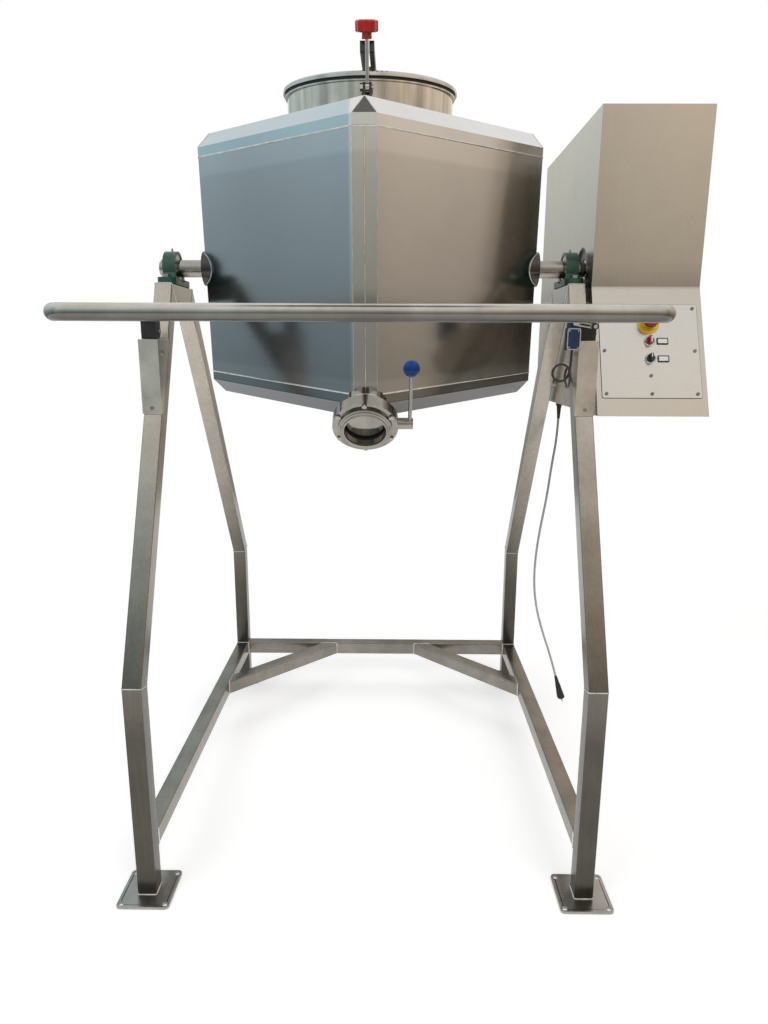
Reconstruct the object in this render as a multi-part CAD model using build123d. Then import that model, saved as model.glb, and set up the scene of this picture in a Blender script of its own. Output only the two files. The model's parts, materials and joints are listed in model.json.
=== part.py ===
from build123d import *
import math
import os

# A cube drum, turned so that one vertical edge faces the front, hangs between two side frames of
# square tube and turns end over end about a level shaft. The drive stands in a sheet cover on the
# right. Lengths are millimetres. X runs to the right along the shaft, Y to the rear, Z up.

# Stand of square tube
tube_width = 50.0
tube_wall = 3.0
tube_corner = 4.0
track = 1170.0
front_foot = -553.0
rear_foot = 760.0
knee_height = 600.0
beam_top = 1621.0
beam_front = -90.0
beam_rear = 97.0
rail_top = 176.0
brace_reach = 390.0
plate_side = 140.0
plate_thick = 8.0
plate_corner = 12.0
plate_hole = 14.0
plate_pitch = 116.0

# Shaft and its pillow blocks
bearing_height = 49.2
block_length = 184.0
block_base_width = 54.0
block_base_thick = 18.0
block_body_width = 36.0
block_body_radius = 48.0
block_bolt_pitch = 137.0
block_bolt = 14.0
insert_radius = 40.0
inner_ring_radius = 27.0
inner_ring_inboard = 19.0
inner_ring_outboard = 30.2
journal = 40.0
shaft = 49.0
shaft_end_reach = 6.0
running_gap = 0.1
hub_pad = 98.0
hub_pad_thick = 10.0

# Drum
cube_side = 720.0
cube_chamfer = 40.0
sheet = 3.0
cap_skirt = 25.0
drum_tilt = 5.5

# Inlet on the top face
neck_outer = 454.0
neck_height = 82.0
neck_flange = 466.0
neck_flange_thick = 3.0
gasket_thick = 6.0
gasket_width = 16.0
lid_outer = 476.0
lid_rim_height = 11.0
lid_dome = 16.0
lid_boss = 46.0
joint_gap = 0.3
yoke_bar = 12.0
yoke_depth = 26.0
yoke_slot = 10.4
yoke_tail = 40.0
yoke_tail_bridge = 30.0
yoke_clearance = 31.0
yoke_overhang = 12.0
hinge_pin = 12.0
hinge_set_back = 24.0
ear_thick = 6.0
ear_margin = 11.0
clamp_pin = 10.0
clamp_set_out = 23.0
clamp_drop = 40.0
clamp_lean = 15.0
swing_rod = 9.0
swing_eye = 22.0
knob_head = 54.0
knob_head_height = 26.0
knob_stem = 24.0
knob_stem_height = 13.0
knob_lobes = 8
knob_lift = 1.0

# Outlet on the front bottom corner, along the cube's diagonal
stub_outer = 104.0
stub_inner = 100.0
valve_start = 600.0
valve_thick = 48.0
valve_outer = 160.0
valve_flange = 132.0
valve_step = 9.0
valve_bolt_count = 6
valve_bolt_circle = 146.0
valve_bolt = 7.0
seal_width = 6.0
seal_bead = 10.0
disc_thick = 8.0
disc_gap = 0.4
stem = 14.0
hub = 28.0
hub_reach = 116.0
lever_offset = 108.0
lever_rod = 9.0
lever_length = 176.0
lever_ball = 38.0

# Drive cover and what it holds
cover_beside_beam = 10.0
cover_width = 301.0
cover_front = -130.0
cover_rear = 565.0
cover_above_bend = 465.0
bend_below_beam = 9.0
console_fall = 347.0
console_run = 144.0
cover_sheet = 2.0
cover_flange = 16.0
cover_shaft_hole = 124.0
panel_side = 270.0
panel_start = 54.0
panel_sheet = 2.0
panel_opening = 236.0
panel_screw_pitch = 123.5
screw_head = 9.0
screw_head_height = 2.2
vent_slot_length = 150.0
vent_slot_width = 8.0
vent_slot_pitch = 22.0
mounting_thick = 6.0
boss = 32.0
boss_bolt = 12.0
bosses_below_beam = (291.0, 81.0)
gearbox_flange = 180.0
gearbox_flange_thick = 12.0
gearbox_neck = 120.0
gearbox_neck_length = 16.0
gearbox_body = 168.0
gearbox_width = 116.0
output_sleeve = 60.0
worm_offset = 74.0
worm_housing = 92.0
motor_flange = 160.0
motor_body = 132.0
motor_fin = 148.0
motor_length = 190.0
motor_fin_count = 16
fan_cover_length = 48.0
terminal_box_start = 50.0
terminal_box_length = 80.0
terminal_box_width = 76.0
terminal_box_height = 26.0

# Controls on the console, as distances down the slope from the bend
stop_place = 110.5
selector_places = (161.5, 212.5)
operator_hole = 22.5
stop_plate = 60.0
stop_collar = 32.0
stop_collar_height = 12.0
stop_button = 40.0
stop_button_thick = 13.0
stop_travel = 6.0
stop_gap = 2.0
operator_stem = 14.0
selector_bezel = 29.0
selector_bezel_height = 5.0
selector_knob = 22.0
selector_knob_height = 8.0
selector_grip_height = 9.0
selector_grip_width = 8.0
contact_block = 38.0
contact_block_depth = 46.0

# Guard bar, its hinges and channels
guard_tube = 33.7
guard_wall = 2.6
guard_bend = 38.0
guard_front = -841.0
guard_front_rise = 21.0
guard_slope = 2.07
guard_tail = 20.0
post = 40.0
pivot_below_beam = 137.0
post_length = 80.0
post_gap = 15.0
pivot_bolt = 10.0
knuckle_radius = 19.0
tongue = 15.0
channel_sheet = 1.5
channel_front_gap = 12.0
channel_below_pivot = 21.0
channel_foot_depth = 2.5
channel_lap = 8.0
post_bolt_below_pivot = 56.0
post_bolt = 8.0

# Limit switch on the right channel
switch_width = 36.0
switch_depth = 30.0
switch_height = 56.0
switch_above_pivot = 11.0
switch_reach = 15.0
head_size = 28.0
head_height = 20.0
switch_pin = 8.0
switch_lever = 51.0
switch_lever_thick = 3.0
switch_lever_width = 12.0
roller = 17.0
roller_width = 6.0
roller_pin = 5.0
cable = 6.0

# Power cord and plug
cord = 8.0
gland = 22.0
gland_height = 20.0
gland_y = 300.0
gland_inset = 28.0
plug_width = 39.0
plug_thick = 28.0
plug_body = 62.0
plug_relief = 30.0
plug_pin = 4.8
plug_pin_length = 19.0
plug_pin_pitch = 19.0

half_track = track / 2
half_tube = tube_width / 2
half_cube = cube_side / 2
beam_centre = beam_top - half_tube
strut_slope = (beam_front - front_foot) / (beam_centre - knee_height)
shaft_height = beam_top + bearing_height
rail_centre = rail_top - half_tube
cover_bend = beam_top - bend_below_beam
cover_bottom = cover_bend - console_fall
cover_top = cover_bend + cover_above_bend
console_foot = cover_front - console_run
cover_left = half_track + half_tube + cover_beside_beam
gland_x = cover_left + gland_inset
boss_heights = [beam_top - drop for drop in bosses_below_beam]
cover_right = cover_left + cover_width
cover_middle = cover_left + cover_width / 2
bolt_clearance = 0.25


def strut_front(z):
    """Y of the front strut's front face at height z."""
    middle = beam_front + (z - beam_centre) * strut_slope
    return middle - half_tube * math.sqrt(1 + strut_slope**2)


# The guard's posts stand in front of the struts; each channel ends where its strut comes forward.
pivot_height = beam_top - pivot_below_beam
guard_front_height = pivot_height + guard_front_rise
post_foot = pivot_height - post_length
post_bolt_height = pivot_height - post_bolt_below_pivot
post_front = strut_front(post_foot) - post_gap - post
channel_front = post_front - channel_front_gap
channel_top = pivot_height - channel_below_pivot
channel_depth_at_beam = strut_front(beam_centre) - channel_front - channel_foot_depth
channel_bottom = beam_centre - channel_depth_at_beam / strut_slope
switch_top = pivot_height + switch_above_pivot
switch_front = channel_front - switch_reach

# The origin is the middle of the machine's outline at floor level.
origin_x = (cover_right - half_track - plate_side / 2) / 2
origin_y = (rear_foot + plate_side / 2 + guard_front - guard_tube / 2) / 2

parts = {}


def box_between(x, y, z):
    """A box from its lowest to its highest x, y and z."""
    size = [high - low for low, high in (x, y, z)]
    middle = [(low + high) / 2 for low, high in (x, y, z)]
    return Pos(*middle) * Box(*size)


def rod_x(radius, start, end, y=0.0, z=0.0):
    """A cylinder along X from start to end."""
    return Pos((start + end) / 2, y, z) * Rot(0, 90, 0) * Cylinder(radius, abs(end - start))


def rod_y(radius, start, end, x=0.0, z=0.0):
    """A cylinder along Y from start to end."""
    return Pos(x, (start + end) / 2, z) * Rot(90, 0, 0) * Cylinder(radius, abs(end - start))


def rod_z(radius, start, end, x=0.0, y=0.0):
    """A cylinder along Z from start to end."""
    return Pos(x, y, (start + end) / 2) * Cylinder(radius, abs(end - start))


def ring_x(outer, inner, start, end, y=0.0, z=0.0):
    """A ring about an axis along X."""
    return rod_x(outer, start, end, y, z) - rod_x(inner, start - 1, end + 1, y, z)


def hex_bolt(diameter, length, head_height=None):
    """A hex bolt down from the origin: its head stands above, its shank runs below."""
    height = head_height or 0.65 * diameter
    head = extrude(RegularPolygon(0.9 * diameter, 6), height)
    return head + rod_z(diameter / 2, -length, height / 2)


def square_tube(start, end, start_normal, end_normal, x_dir):
    """A hollow square tube from start to end, cut at each end by a plane through that point."""
    start, end = Vector(*start), Vector(*end)
    along = (end - start).normalized()
    reach = 2 * tube_width
    inner = tube_width - 2 * tube_wall
    section = RectangleRounded(tube_width, tube_width, tube_corner)
    section -= RectangleRounded(inner, inner, tube_corner - tube_wall)
    plane = Plane(origin=start - along * reach, x_dir=x_dir, z_dir=along)
    bar = extrude(plane * section, (end - start).length + 2 * reach)
    bar = split(bar, bisect_by=Plane(origin=start, z_dir=start_normal), keep=Keep.TOP)
    return split(bar, bisect_by=Plane(origin=end, z_dir=end_normal), keep=Keep.BOTTOM)


def bent_tubes(points):
    """Tubes along a bent line, mitred where two of them meet."""
    points = [Vector(*p) for p in points]
    ways = [(b - a).normalized() for a, b in zip(points, points[1:])]
    normals = [ways[0]] + [(a + b).normalized() for a, b in zip(ways, ways[1:])] + [ways[-1]]
    return [
        square_tube(a, b, n, m, (1, 0, 0))
        for a, b, n, m in zip(points, points[1:], normals, normals[1:])
    ]


def side_frame(side):
    """Legs, struts, bearing beam and side rail of one side."""
    x = side * half_track
    line = [
        (x, front_foot, plate_thick),
        (x, front_foot, knee_height),
        (x, beam_front, beam_centre),
        (x, beam_rear, beam_centre),
        (x, rear_foot, knee_height),
        (x, rear_foot, plate_thick),
    ]
    names = ("front_leg", "front_strut", "bearing_beam", "rear_strut", "rear_leg")
    tubes = dict(zip(names, bent_tubes(line)))
    tubes["side_rail"] = square_tube(
        (x, front_foot + half_tube, rail_centre),
        (x, rear_foot - half_tube, rail_centre),
        (0, 1, 0),
        (0, 1, 0),
        (1, 0, 0),
    )
    for hole in (-block_bolt_pitch / 2, block_bolt_pitch / 2):
        radius = block_bolt / 2 + bolt_clearance
        tubes["bearing_beam"] -= rod_z(radius, beam_top - tube_wall - 1, beam_top + 1, x, hole)
    if side > 0:
        face = x + half_tube
        radius = boss_bolt / 2 + bolt_clearance
        for y, z in boss_places():
            strut = "front_strut" if y < 0 else "rear_strut"
            tubes[strut] -= rod_x(radius, face - tube_wall - 1, face + 1, y, z)
    return {f"{name}s": tube for name, tube in tubes.items()}


def rear_crossbar():
    """The tube between the two rear legs."""
    inner = half_track - half_tube
    ends = [(-inner, rear_foot, rail_centre), (inner, rear_foot, rail_centre)]
    return square_tube(*ends, (1, 0, 0), (1, 0, 0), (0, 0, 1))


def corner_brace(side):
    """A diagonal tube from the side rail to the rear crossbar, its front face brace_reach out."""
    rail_face = half_track - half_tube
    bar_face = rear_foot - half_tube
    inset = tube_width / math.sqrt(2)
    start = (side * rail_face, bar_face - brace_reach + inset, rail_centre)
    end = (side * (rail_face - brace_reach + inset), bar_face, rail_centre)
    return square_tube(start, end, (-side, 0, 0), (0, 1, 0), (0, 0, 1))


def foot_plates():
    """Four base plates, each with four holes, centred under the legs."""
    outline = RectangleRounded(plate_side, plate_side, plate_corner)
    outline -= GridLocations(plate_pitch, plate_pitch, 2, 2) * Circle(plate_hole / 2)
    plate = extrude(outline, plate_thick)
    places = [(x, y) for x in (-half_track, half_track) for y in (front_foot, rear_foot)]
    return [Pos(x, y, 0) * plate for x, y in places]


def pillow_block(side):
    """A cast housing on the bearing beam: arched foot, round body and the insert's seat."""
    foot = extrude(SlotOverall(block_length, block_base_width), block_base_thick)
    foot = Rot(0, 0, 90) * foot
    web_foot = block_length * 0.34
    web = Polygon(
        (-web_foot, 0),
        (web_foot, 0),
        (block_body_radius * 0.8, bearing_height),
        (-block_body_radius * 0.8, bearing_height),
        align=None,
    )
    body = web + Pos(0, bearing_height) * Circle(block_body_radius)
    body = extrude(Plane.YZ * body, block_body_width / 2, both=True)
    body = split(body, bisect_by=Plane.XY, keep=Keep.TOP)
    block = foot + body
    block -= rod_x(insert_radius, -block_base_width, block_base_width, 0, bearing_height)
    for y in (-block_bolt_pitch / 2, block_bolt_pitch / 2):
        block -= rod_z(block_bolt / 2 + bolt_clearance, -1, block_base_thick + 1, 0, y)
    return Pos(side * half_track, 0, beam_top) * block


def bearing_bolts():
    """Two hex bolts through each block's foot, and a grease nipple on each block's crown."""
    bolts = []
    bolt = hex_bolt(block_bolt, block_base_thick + tube_wall, 8.8)
    crown = beam_top + bearing_height + block_body_radius
    for side in (-1, 1):
        x = side * half_track
        for y in (-block_bolt_pitch / 2, block_bolt_pitch / 2):
            bolts.append(Pos(x, y, beam_top + block_base_thick) * bolt)
        nipple = rod_z(3.0, crown - 0.5, crown + 6, x) + rod_z(2.0, crown, crown + 9, x)
        bolts.append(nipple - rod_x(block_body_radius, x - 9, x + 9, 0, shaft_height))
    return bolts


def outer_ring(side):
    """The insert's outer ring with its shields, in the housing."""
    x = side * half_track
    reach = block_body_width / 2 - 2
    clear = inner_ring_radius + running_gap
    return ring_x(insert_radius, clear, x - reach, x + reach, 0, shaft_height)


def drum_place(shape):
    """Moves a shape from the drum's own frame, level and centred on the shaft, to its place."""
    return Pos(0, 0, shaft_height) * Rot(drum_tilt, 0, 0) * shape


def chamfered_cube(inset):
    """The cube with all its edges chamfered, each face moved in by inset."""
    side = cube_side - 2 * inset
    leg = cube_chamfer - inset * (2 - math.sqrt(2))
    block = Box(side, side, side)
    return Rot(0, 0, 45) * chamfer(block.edges(), leg)


def diagonal_plane(distance):
    """The plane across the outlet's axis, at a distance from the drum's centre. Its y points up."""
    slope = math.atan(1 / math.sqrt(2))
    way = Vector(0, -math.cos(slope), -math.sin(slope))
    return Plane(origin=way * distance, x_dir=(1, 0, 0), z_dir=way)


def along_diagonal(shape, distance):
    """Places a shape made about Z on the outlet's axis."""
    return diagonal_plane(distance).location * shape


def drum_shell():
    """Top cap, bottom cap and four side panels, parted along their weld seams."""
    shell = chamfered_cube(0) - chamfered_cube(sheet)
    seam = half_cube - cube_chamfer - cap_skirt
    top = split(shell, bisect_by=Plane(origin=(0, 0, seam)), keep=Keep.TOP)
    bottom = split(shell, bisect_by=Plane(origin=(0, 0, -seam)), keep=Keep.BOTTOM)
    girdle = split(shell, bisect_by=Plane(origin=(0, 0, seam)), keep=Keep.BOTTOM)
    girdle = split(girdle, bisect_by=Plane(origin=(0, 0, -seam)), keep=Keep.TOP)
    top -= rod_z(neck_outer / 2, half_cube - 2 * sheet, half_cube + sheet)
    stub_hole = along_diagonal(Cylinder(stub_outer / 2, cube_side), half_cube * 1.6)
    bottom -= stub_hole
    panels = []
    for keep_x in (Keep.TOP, Keep.BOTTOM):
        half = split(girdle - stub_hole, bisect_by=Plane.YZ, keep=keep_x)
        for keep_y in (Keep.TOP, Keep.BOTTOM):
            panels.append(split(half, bisect_by=Plane.XZ, keep=keep_y))
    return drum_place(top), drum_place(bottom), [drum_place(p) for p in panels]


def drum_shaft(side, drum_body):
    """A stub shaft with its hub pad, saddled on the drum's vertical edge strip."""
    strip = (cube_side - cube_chamfer) / math.sqrt(2)
    pad_face = strip + hub_pad_thick
    shoulder = half_track - inner_ring_inboard
    if side < 0:
        end = half_track + inner_ring_outboard + shaft_end_reach
    else:
        end = gearbox_face() + gearbox_width
    pad = rod_x(hub_pad / 2, side * strip * 0.9, side * pad_face)
    bar = rod_x(shaft / 2, side * strip * 0.97, side * shoulder)
    bar += rod_x(journal / 2, side * (shoulder - 1), side * end)
    return Pos(0, 0, shaft_height) * (pad + bar) - drum_body


def inner_ring(side):
    """The insert's inner ring, clamped on the journal."""
    x = side * half_track
    start, end = x - side * inner_ring_inboard, x + side * inner_ring_outboard
    low, high = min(start, end), max(start, end)
    ring = ring_x(inner_ring_radius, journal / 2, low, high, 0, shaft_height)
    screw = rod_z(2.5, journal / 2, inner_ring_radius + 2, x + side * (inner_ring_outboard - 6))
    return ring - Pos(0, 0, shaft_height) * screw


# Heights in the drum's own frame
neck_top = half_cube + neck_height
rim_bottom = neck_top + joint_gap + gasket_thick
rim_top = rim_bottom + lid_rim_height
yoke_bottom = rim_top + yoke_clearance
yoke_top = yoke_bottom + yoke_depth
yoke_middle = (yoke_bottom + yoke_top) / 2
hinge_y = lid_outer / 2 + hinge_set_back
clamp_y = -(neck_outer / 2 + clamp_set_out)
clamp_z = rim_top - clamp_drop
yoke_half = yoke_slot / 2 + yoke_bar


def inlet_neck():
    """The round neck through the top face, with a small flange that carries the lid."""
    wall = rod_z(neck_outer / 2, half_cube - sheet, neck_top)
    wall += rod_z(neck_flange / 2, neck_top - neck_flange_thick, neck_top)
    return drum_place(wall - rod_z(neck_outer / 2 - sheet, 0, cube_side))


def inlet_gasket():
    """The ring that seals the lid, carried in the lid's rim."""
    low, high = neck_top + joint_gap, rim_bottom
    outer = neck_flange / 2
    ring = rod_z(outer, low, high) - rod_z(outer - gasket_width, low - 1, high + 1)
    return drum_place(ring)


def lid():
    """A dished lid with a rolled rim, and a boss at its middle that carries the yoke."""
    rim = lid_outer / 2
    shoulder = rim - 14
    crown = rim_top + lid_dome
    outside = [(0, crown), (0, crown - sheet)]
    with BuildSketch(Plane.XZ) as profile:
        with BuildLine():
            Polyline((shoulder, rim_top - sheet), (shoulder, rim_bottom), (rim, rim_bottom))
            Polyline((rim, rim_bottom), (rim, rim_top - 4))
            RadiusArc((rim, rim_top - 4), (rim - 4, rim_top), -4)
            Line((rim - 4, rim_top), (shoulder, rim_top))
            ThreePointArc((shoulder, rim_top), (shoulder / 2, rim_top + lid_dome * 0.76), outside[0])
            Line(outside[0], outside[1])
            ThreePointArc(
                outside[1],
                (shoulder / 2, rim_top + lid_dome * 0.76 - sheet),
                (shoulder, rim_top - sheet),
            )
        make_face()
    plate = revolve(profile.sketch, Axis.Z)
    middle = rod_z(lid_boss / 2, crown - sheet / 2, yoke_bottom)
    return drum_place(plate + middle)


def lid_yoke():
    """Two bars over the lid, joined over its boss, open at the front for the swing rod."""
    front = clamp_y - yoke_overhang
    rear = hinge_y + yoke_depth / 2
    rear_line = hinge_y
    bars = None
    for side in (-1, 1):
        inner, outer = side * yoke_slot / 2, side * yoke_half
        low, high = min(inner, outer), max(inner, outer)
        bar = box_between((low, high), (front, rear_line), (yoke_bottom, yoke_top))
        bar += rod_x(yoke_depth / 2, low, high, rear_line, yoke_middle)
        nose = bar.edges().filter_by(Axis.X).group_by(Axis.Y)[0]
        bar = fillet(nose, 5)
        bars = bar if bars is None else bars + bar
    bridge = box_between((-yoke_slot / 2, yoke_slot / 2), (-lid_boss / 2, lid_boss / 2),
                         (yoke_bottom, yoke_top))
    tail = rear - yoke_tail
    rear_bridge = box_between((-yoke_slot / 2, yoke_slot / 2), (tail - yoke_tail_bridge, tail),
                              (yoke_bottom, yoke_top))
    yoke = bars + bridge + rear_bridge
    yoke -= rod_x(hinge_pin / 2 + running_gap, -yoke_half - 1, yoke_half + 1, hinge_y, yoke_middle)
    cap = extrude(RegularPolygon(9, 6), 6)
    yoke += Pos(0, 0, yoke_top) * cap
    return drum_place(yoke)


def ear_pair(inner_half, outline):
    """Two upright plates with the same outline, given in Y and Z, inner_half each side of X=0."""
    ears = []
    for side in (-1, 1):
        plate = extrude(Plane.YZ * outline, ear_thick * side)
        ears.append(Pos(side * inner_half, 0, 0) * plate)
    return ears


def neck_bracket(y, z, pin, inner_half, foot):
    """A two-eared bracket welded to the neck wall below its flange, with round ears at y, z."""
    way = 1 if y > 0 else -1
    wall = way * math.sqrt((neck_outer / 2) ** 2 - (inner_half + ear_thick) ** 2)
    clear_top = neck_top - neck_flange_thick - joint_gap
    ear = Pos(y, z) * Circle(ear_margin)
    shelf = min(clear_top, z + ear_margin * 0.7)
    corners = [
        (wall, foot),
        (wall, shelf),
        (way * (lid_outer / 2 + 2.5), shelf),
        (y - way * ear_margin, z),
        (y + way * ear_margin, z),
        (y + way * ear_margin * 0.4, foot),
    ]
    arm = Polygon(*(corners[::-1] if way > 0 else corners), align=None)
    outline = arm + ear - Pos(y, z) * Circle(pin / 2)
    ears = ear_pair(inner_half, outline)
    plate_low, plate_high = sorted((wall, wall + way * ear_thick))
    back = box_between((-inner_half - ear_thick, inner_half + ear_thick),
                       (plate_low, plate_high), (foot, foot + ear_thick * 2))
    bracket = ears[0] + ears[1] + back
    return drum_place(bracket - rod_z(neck_outer / 2, half_cube, cube_side))


def hinge_bracket():
    """The rear bracket that the lid's yoke swings on."""
    inner = yoke_half + joint_gap
    return neck_bracket(hinge_y, yoke_middle, hinge_pin, inner, half_cube + 34)


def clamp_bracket():
    """The front bracket that the swing rod pivots on."""
    inner = swing_rod / 2 + joint_gap
    return neck_bracket(clamp_y, clamp_z, clamp_pin, inner, half_cube + 34)


def bracket_pins():
    """The lid's hinge pin and the clamp's hex-headed pin."""
    pins = []
    hinge_reach = yoke_half + joint_gap + ear_thick
    pin = rod_x(hinge_pin / 2, -hinge_reach - 2, hinge_reach + 2, hinge_y, yoke_middle)
    for side in (-1, 1):
        start = side * (hinge_reach + 2)
        pin += rod_x(hinge_pin * 0.75, start, start + side * 4, hinge_y, yoke_middle)
    pins.append(drum_place(pin))
    clamp_reach = swing_rod / 2 + joint_gap + ear_thick
    pin = rod_x(clamp_pin / 2, -clamp_reach, clamp_reach + 4, clamp_y, clamp_z)
    head = Rot(0, -90, 0) * extrude(RegularPolygon(clamp_pin * 0.9, 6), 7)
    pin += Pos(-clamp_reach, clamp_y, clamp_z) * head
    pins.append(drum_place(pin))
    return pins


def clamp_place(shape):
    """Moves a shape made upright about the clamp pin to its leaning place at rest."""
    return drum_place(Pos(0, clamp_y, clamp_z) * Rot(clamp_lean, 0, 0) * shape)


knob_base = yoke_top - clamp_z + knob_lift
rod_top = knob_base + knob_stem_height + knob_head_height * 0.6


def swing_bolt():
    """An eye bolt: its eye turns on the clamp pin, its rod carries the knob."""
    eye_half = swing_rod / 2 - joint_gap
    eye = rod_x(swing_eye / 2, -eye_half, eye_half)
    bolt = eye + rod_z(swing_rod / 2, 0, rod_top)
    bolt -= rod_x(clamp_pin / 2 + running_gap, -swing_rod, swing_rod)
    return clamp_place(bolt)


def star_knob():
    """A lobed knob with a round stem, on the swing bolt's rod."""
    head = extrude(Circle(knob_head / 2), knob_head_height)
    notch = extrude(Circle(7), knob_head_height)
    head -= PolarLocations(knob_head / 2 + 3.5, knob_lobes) * notch
    head = chamfer(head.edges().filter_by(GeomType.CIRCLE).group_by(Axis.Z)[-1], 2.5)
    knob = Pos(0, 0, knob_stem_height) * head + rod_z(knob_stem / 2, 0, knob_stem_height + 1)
    knob -= rod_z(swing_rod / 2 + running_gap, -1, rod_top - knob_base + 1)
    return clamp_place(Pos(0, 0, knob_base) * knob)


valve_middle = valve_start + valve_thick / 2


def outlet_stub():
    """The short pipe from the drum's corner to the valve, saddled on the drum."""
    length = valve_start - half_cube
    pipe = Cylinder(stub_outer / 2, length) - Cylinder(stub_inner / 2, length + 2)
    pipe = along_diagonal(pipe, half_cube + length / 2)
    pipe -= chamfered_cube(sheet)
    flange = Cylinder(valve_flange / 2, valve_step) - Cylinder(stub_inner / 2, valve_step + 2)
    flange = along_diagonal(flange, valve_start - valve_step / 2)
    return drum_place(pipe + flange)


def valve_half(which):
    """One half of the valve body: a stepped ring with a seat for the seal and the stem."""
    half = valve_thick / 2
    outer = valve_outer / 2
    ring = Pos(0, 0, half / 2) * Cylinder(outer, half)
    step = Pos(0, 0, half) * (Cylinder(outer, valve_step * 2) - Cylinder(valve_flange / 2, half * 2))
    ring -= step
    rim = ring.edges().filter_by(GeomType.CIRCLE).group_by(Axis.Z)[-1]
    ring = fillet(rim, 3)
    ring -= Cylinder(stub_inner / 2, valve_thick * 2)
    ring -= Cylinder(stub_inner / 2 + seal_width, seal_bead * 2)
    for angle in range(valve_bolt_count):
        turn = Rot(0, 0, 30 + angle * 360 / valve_bolt_count)
        ring -= turn * Pos(valve_bolt_circle / 2, 0, 0) * Cylinder(valve_bolt / 2, valve_thick * 2)
    ring -= rod_x(hub / 2, stub_inner / 2 + seal_width, valve_outer)
    ring -= rod_x(stem / 2 + running_gap, -outer + 12, outer)
    if which == "inner":
        ring = Rot(180, 0, 0) * ring
    return drum_place(along_diagonal(ring, valve_middle))


def valve_bolts():
    """Six bolts that hold the two body halves together, heads outward."""
    depth = valve_thick / 2 - valve_step
    bolts = []
    for angle in range(valve_bolt_count):
        bolt = Pos(0, 0, depth) * hex_bolt(valve_bolt, 2 * depth, 4.5)
        turn = Rot(0, 0, 30 + angle * 360 / valve_bolt_count)
        placed = turn * Pos(valve_bolt_circle / 2, 0, 0) * bolt
        bolts.append(drum_place(along_diagonal(placed, valve_middle)))
    return bolts


def valve_seal():
    """The seal ring between the halves, with holes for the stem."""
    outer = stub_inner / 2 + seal_width
    ring = Cylinder(outer, seal_bead * 2) - Cylinder(stub_inner / 2, seal_bead * 3)
    ring -= rod_x(stem / 2 + running_gap, -outer - 1, outer + 1)
    return drum_place(along_diagonal(ring, valve_middle))


def stem_sleeve():
    """The fixed hub that the valve's stem runs in, on the body's right side."""
    start, end = stub_inner / 2 + seal_width, lever_offset - lever_rod
    sleeve = ring_x(hub / 2, stem / 2 + running_gap, start, end)
    return drum_place(along_diagonal(sleeve, valve_middle))


def valve_disc():
    """The disc with its stem: a slice of a ball, so that its edge clears the seal as it turns."""
    ball = Sphere(stub_inner / 2 - disc_gap)
    half = disc_thick / 2
    size = stub_inner
    disc = ball & Box(size, size, disc_thick)
    bulge = ball & rod_x(stem / 2 + 3, -size / 2, size / 2)
    disc += bulge
    disc += rod_x(stem / 2, -valve_outer / 2 + 12.5, lever_offset - lever_rod + half)
    return drum_place(along_diagonal(disc, valve_middle))


def valve_lever():
    """The turned cap on the stem's end, its rod and the blue ball."""
    start = lever_offset - lever_rod + joint_gap
    cap = rod_x(hub / 2, start, hub_reach)
    cap = chamfer(cap.edges().group_by(Axis.X)[-1], 2)
    cap -= rod_x(stem / 2, start - 1, lever_offset - lever_rod + disc_thick / 2)
    rod = rod_y(lever_rod / 2, hub / 4, lever_length, lever_offset)
    ball = Pos(lever_offset, lever_length, 0) * Sphere(lever_ball / 2)
    ball -= rod
    lever = cap + rod
    return [drum_place(along_diagonal(piece, valve_middle)) for piece in (lever, ball)]


def cover_outline(inset):
    """The cover's side view in Y and Z, moved in by inset."""
    outline = Polygon(
        (cover_front, cover_top),
        (cover_front, cover_bend),
        (console_foot, cover_bottom),
        (cover_rear, cover_bottom),
        (cover_rear, cover_top),
        align=None,
    )
    return offset(outline, -inset, kind=Kind.INTERSECTION) if inset else outline


def console_plane():
    """The console's face: its origin is the middle of the bend, y points up the slope."""
    fall = cover_bend - cover_bottom
    run = cover_front - console_foot
    length = math.hypot(fall, run)
    outward = (0, -fall / length, run / length)
    return Plane(origin=(cover_middle, cover_front, cover_bend), x_dir=(1, 0, 0), z_dir=outward)


def on_console(shape, down=0.0, across=0.0):
    """Places a shape made on XY on the console, down its slope from the bend."""
    return console_plane().location * Pos(across, -down, 0) * shape


def boss_places():
    """Y and Z of the four bosses, on the middle lines of the front and rear struts."""
    places = []
    for z in boss_heights:
        share = (beam_centre - z) / (beam_centre - knee_height)
        places.append((beam_front + share * (front_foot - beam_front), z))
        places.append((beam_rear + share * (rear_foot - beam_rear), z))
    return places


def gearbox_face():
    """X of the face where the gearbox's body starts, beyond its flange and neck."""
    inner = cover_left + cover_sheet + mounting_thick
    return inner + gearbox_flange_thick + gearbox_neck_length


def drive_cover():
    """A folded sheet cover with a sloped console, open at the rear inside a screw flange."""
    shell = extrude(Plane.YZ * cover_outline(0), cover_width)
    inner = extrude(Plane.YZ * cover_outline(cover_sheet), cover_width - 2 * cover_sheet)
    shell -= Pos(cover_sheet, 0, 0) * inner
    shell = Pos(cover_left, 0, 0) * shell
    edge = cover_sheet + cover_flange
    shell -= box_between((cover_left + edge, cover_right - edge),
                         (cover_rear - 3 * cover_sheet, cover_rear + 1),
                         (cover_bottom + edge, cover_top - edge))
    window = Box(panel_opening, panel_opening, 4 * cover_sheet)
    shell -= on_console(window, panel_start + panel_side / 2)
    shell -= rod_x(cover_shaft_hole / 2, cover_left - 1, cover_left + 2 * cover_sheet, 0, shaft_height)
    hole = boss_bolt / 2 + bolt_clearance
    for y, z in boss_places():
        shell -= rod_x(hole, cover_left - 1, cover_left + 2 * cover_sheet, y, z)
    return shell - rod_z(gland * 0.4, cover_bottom - 1, cover_bottom + 5, gland_x, gland_y)


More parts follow.
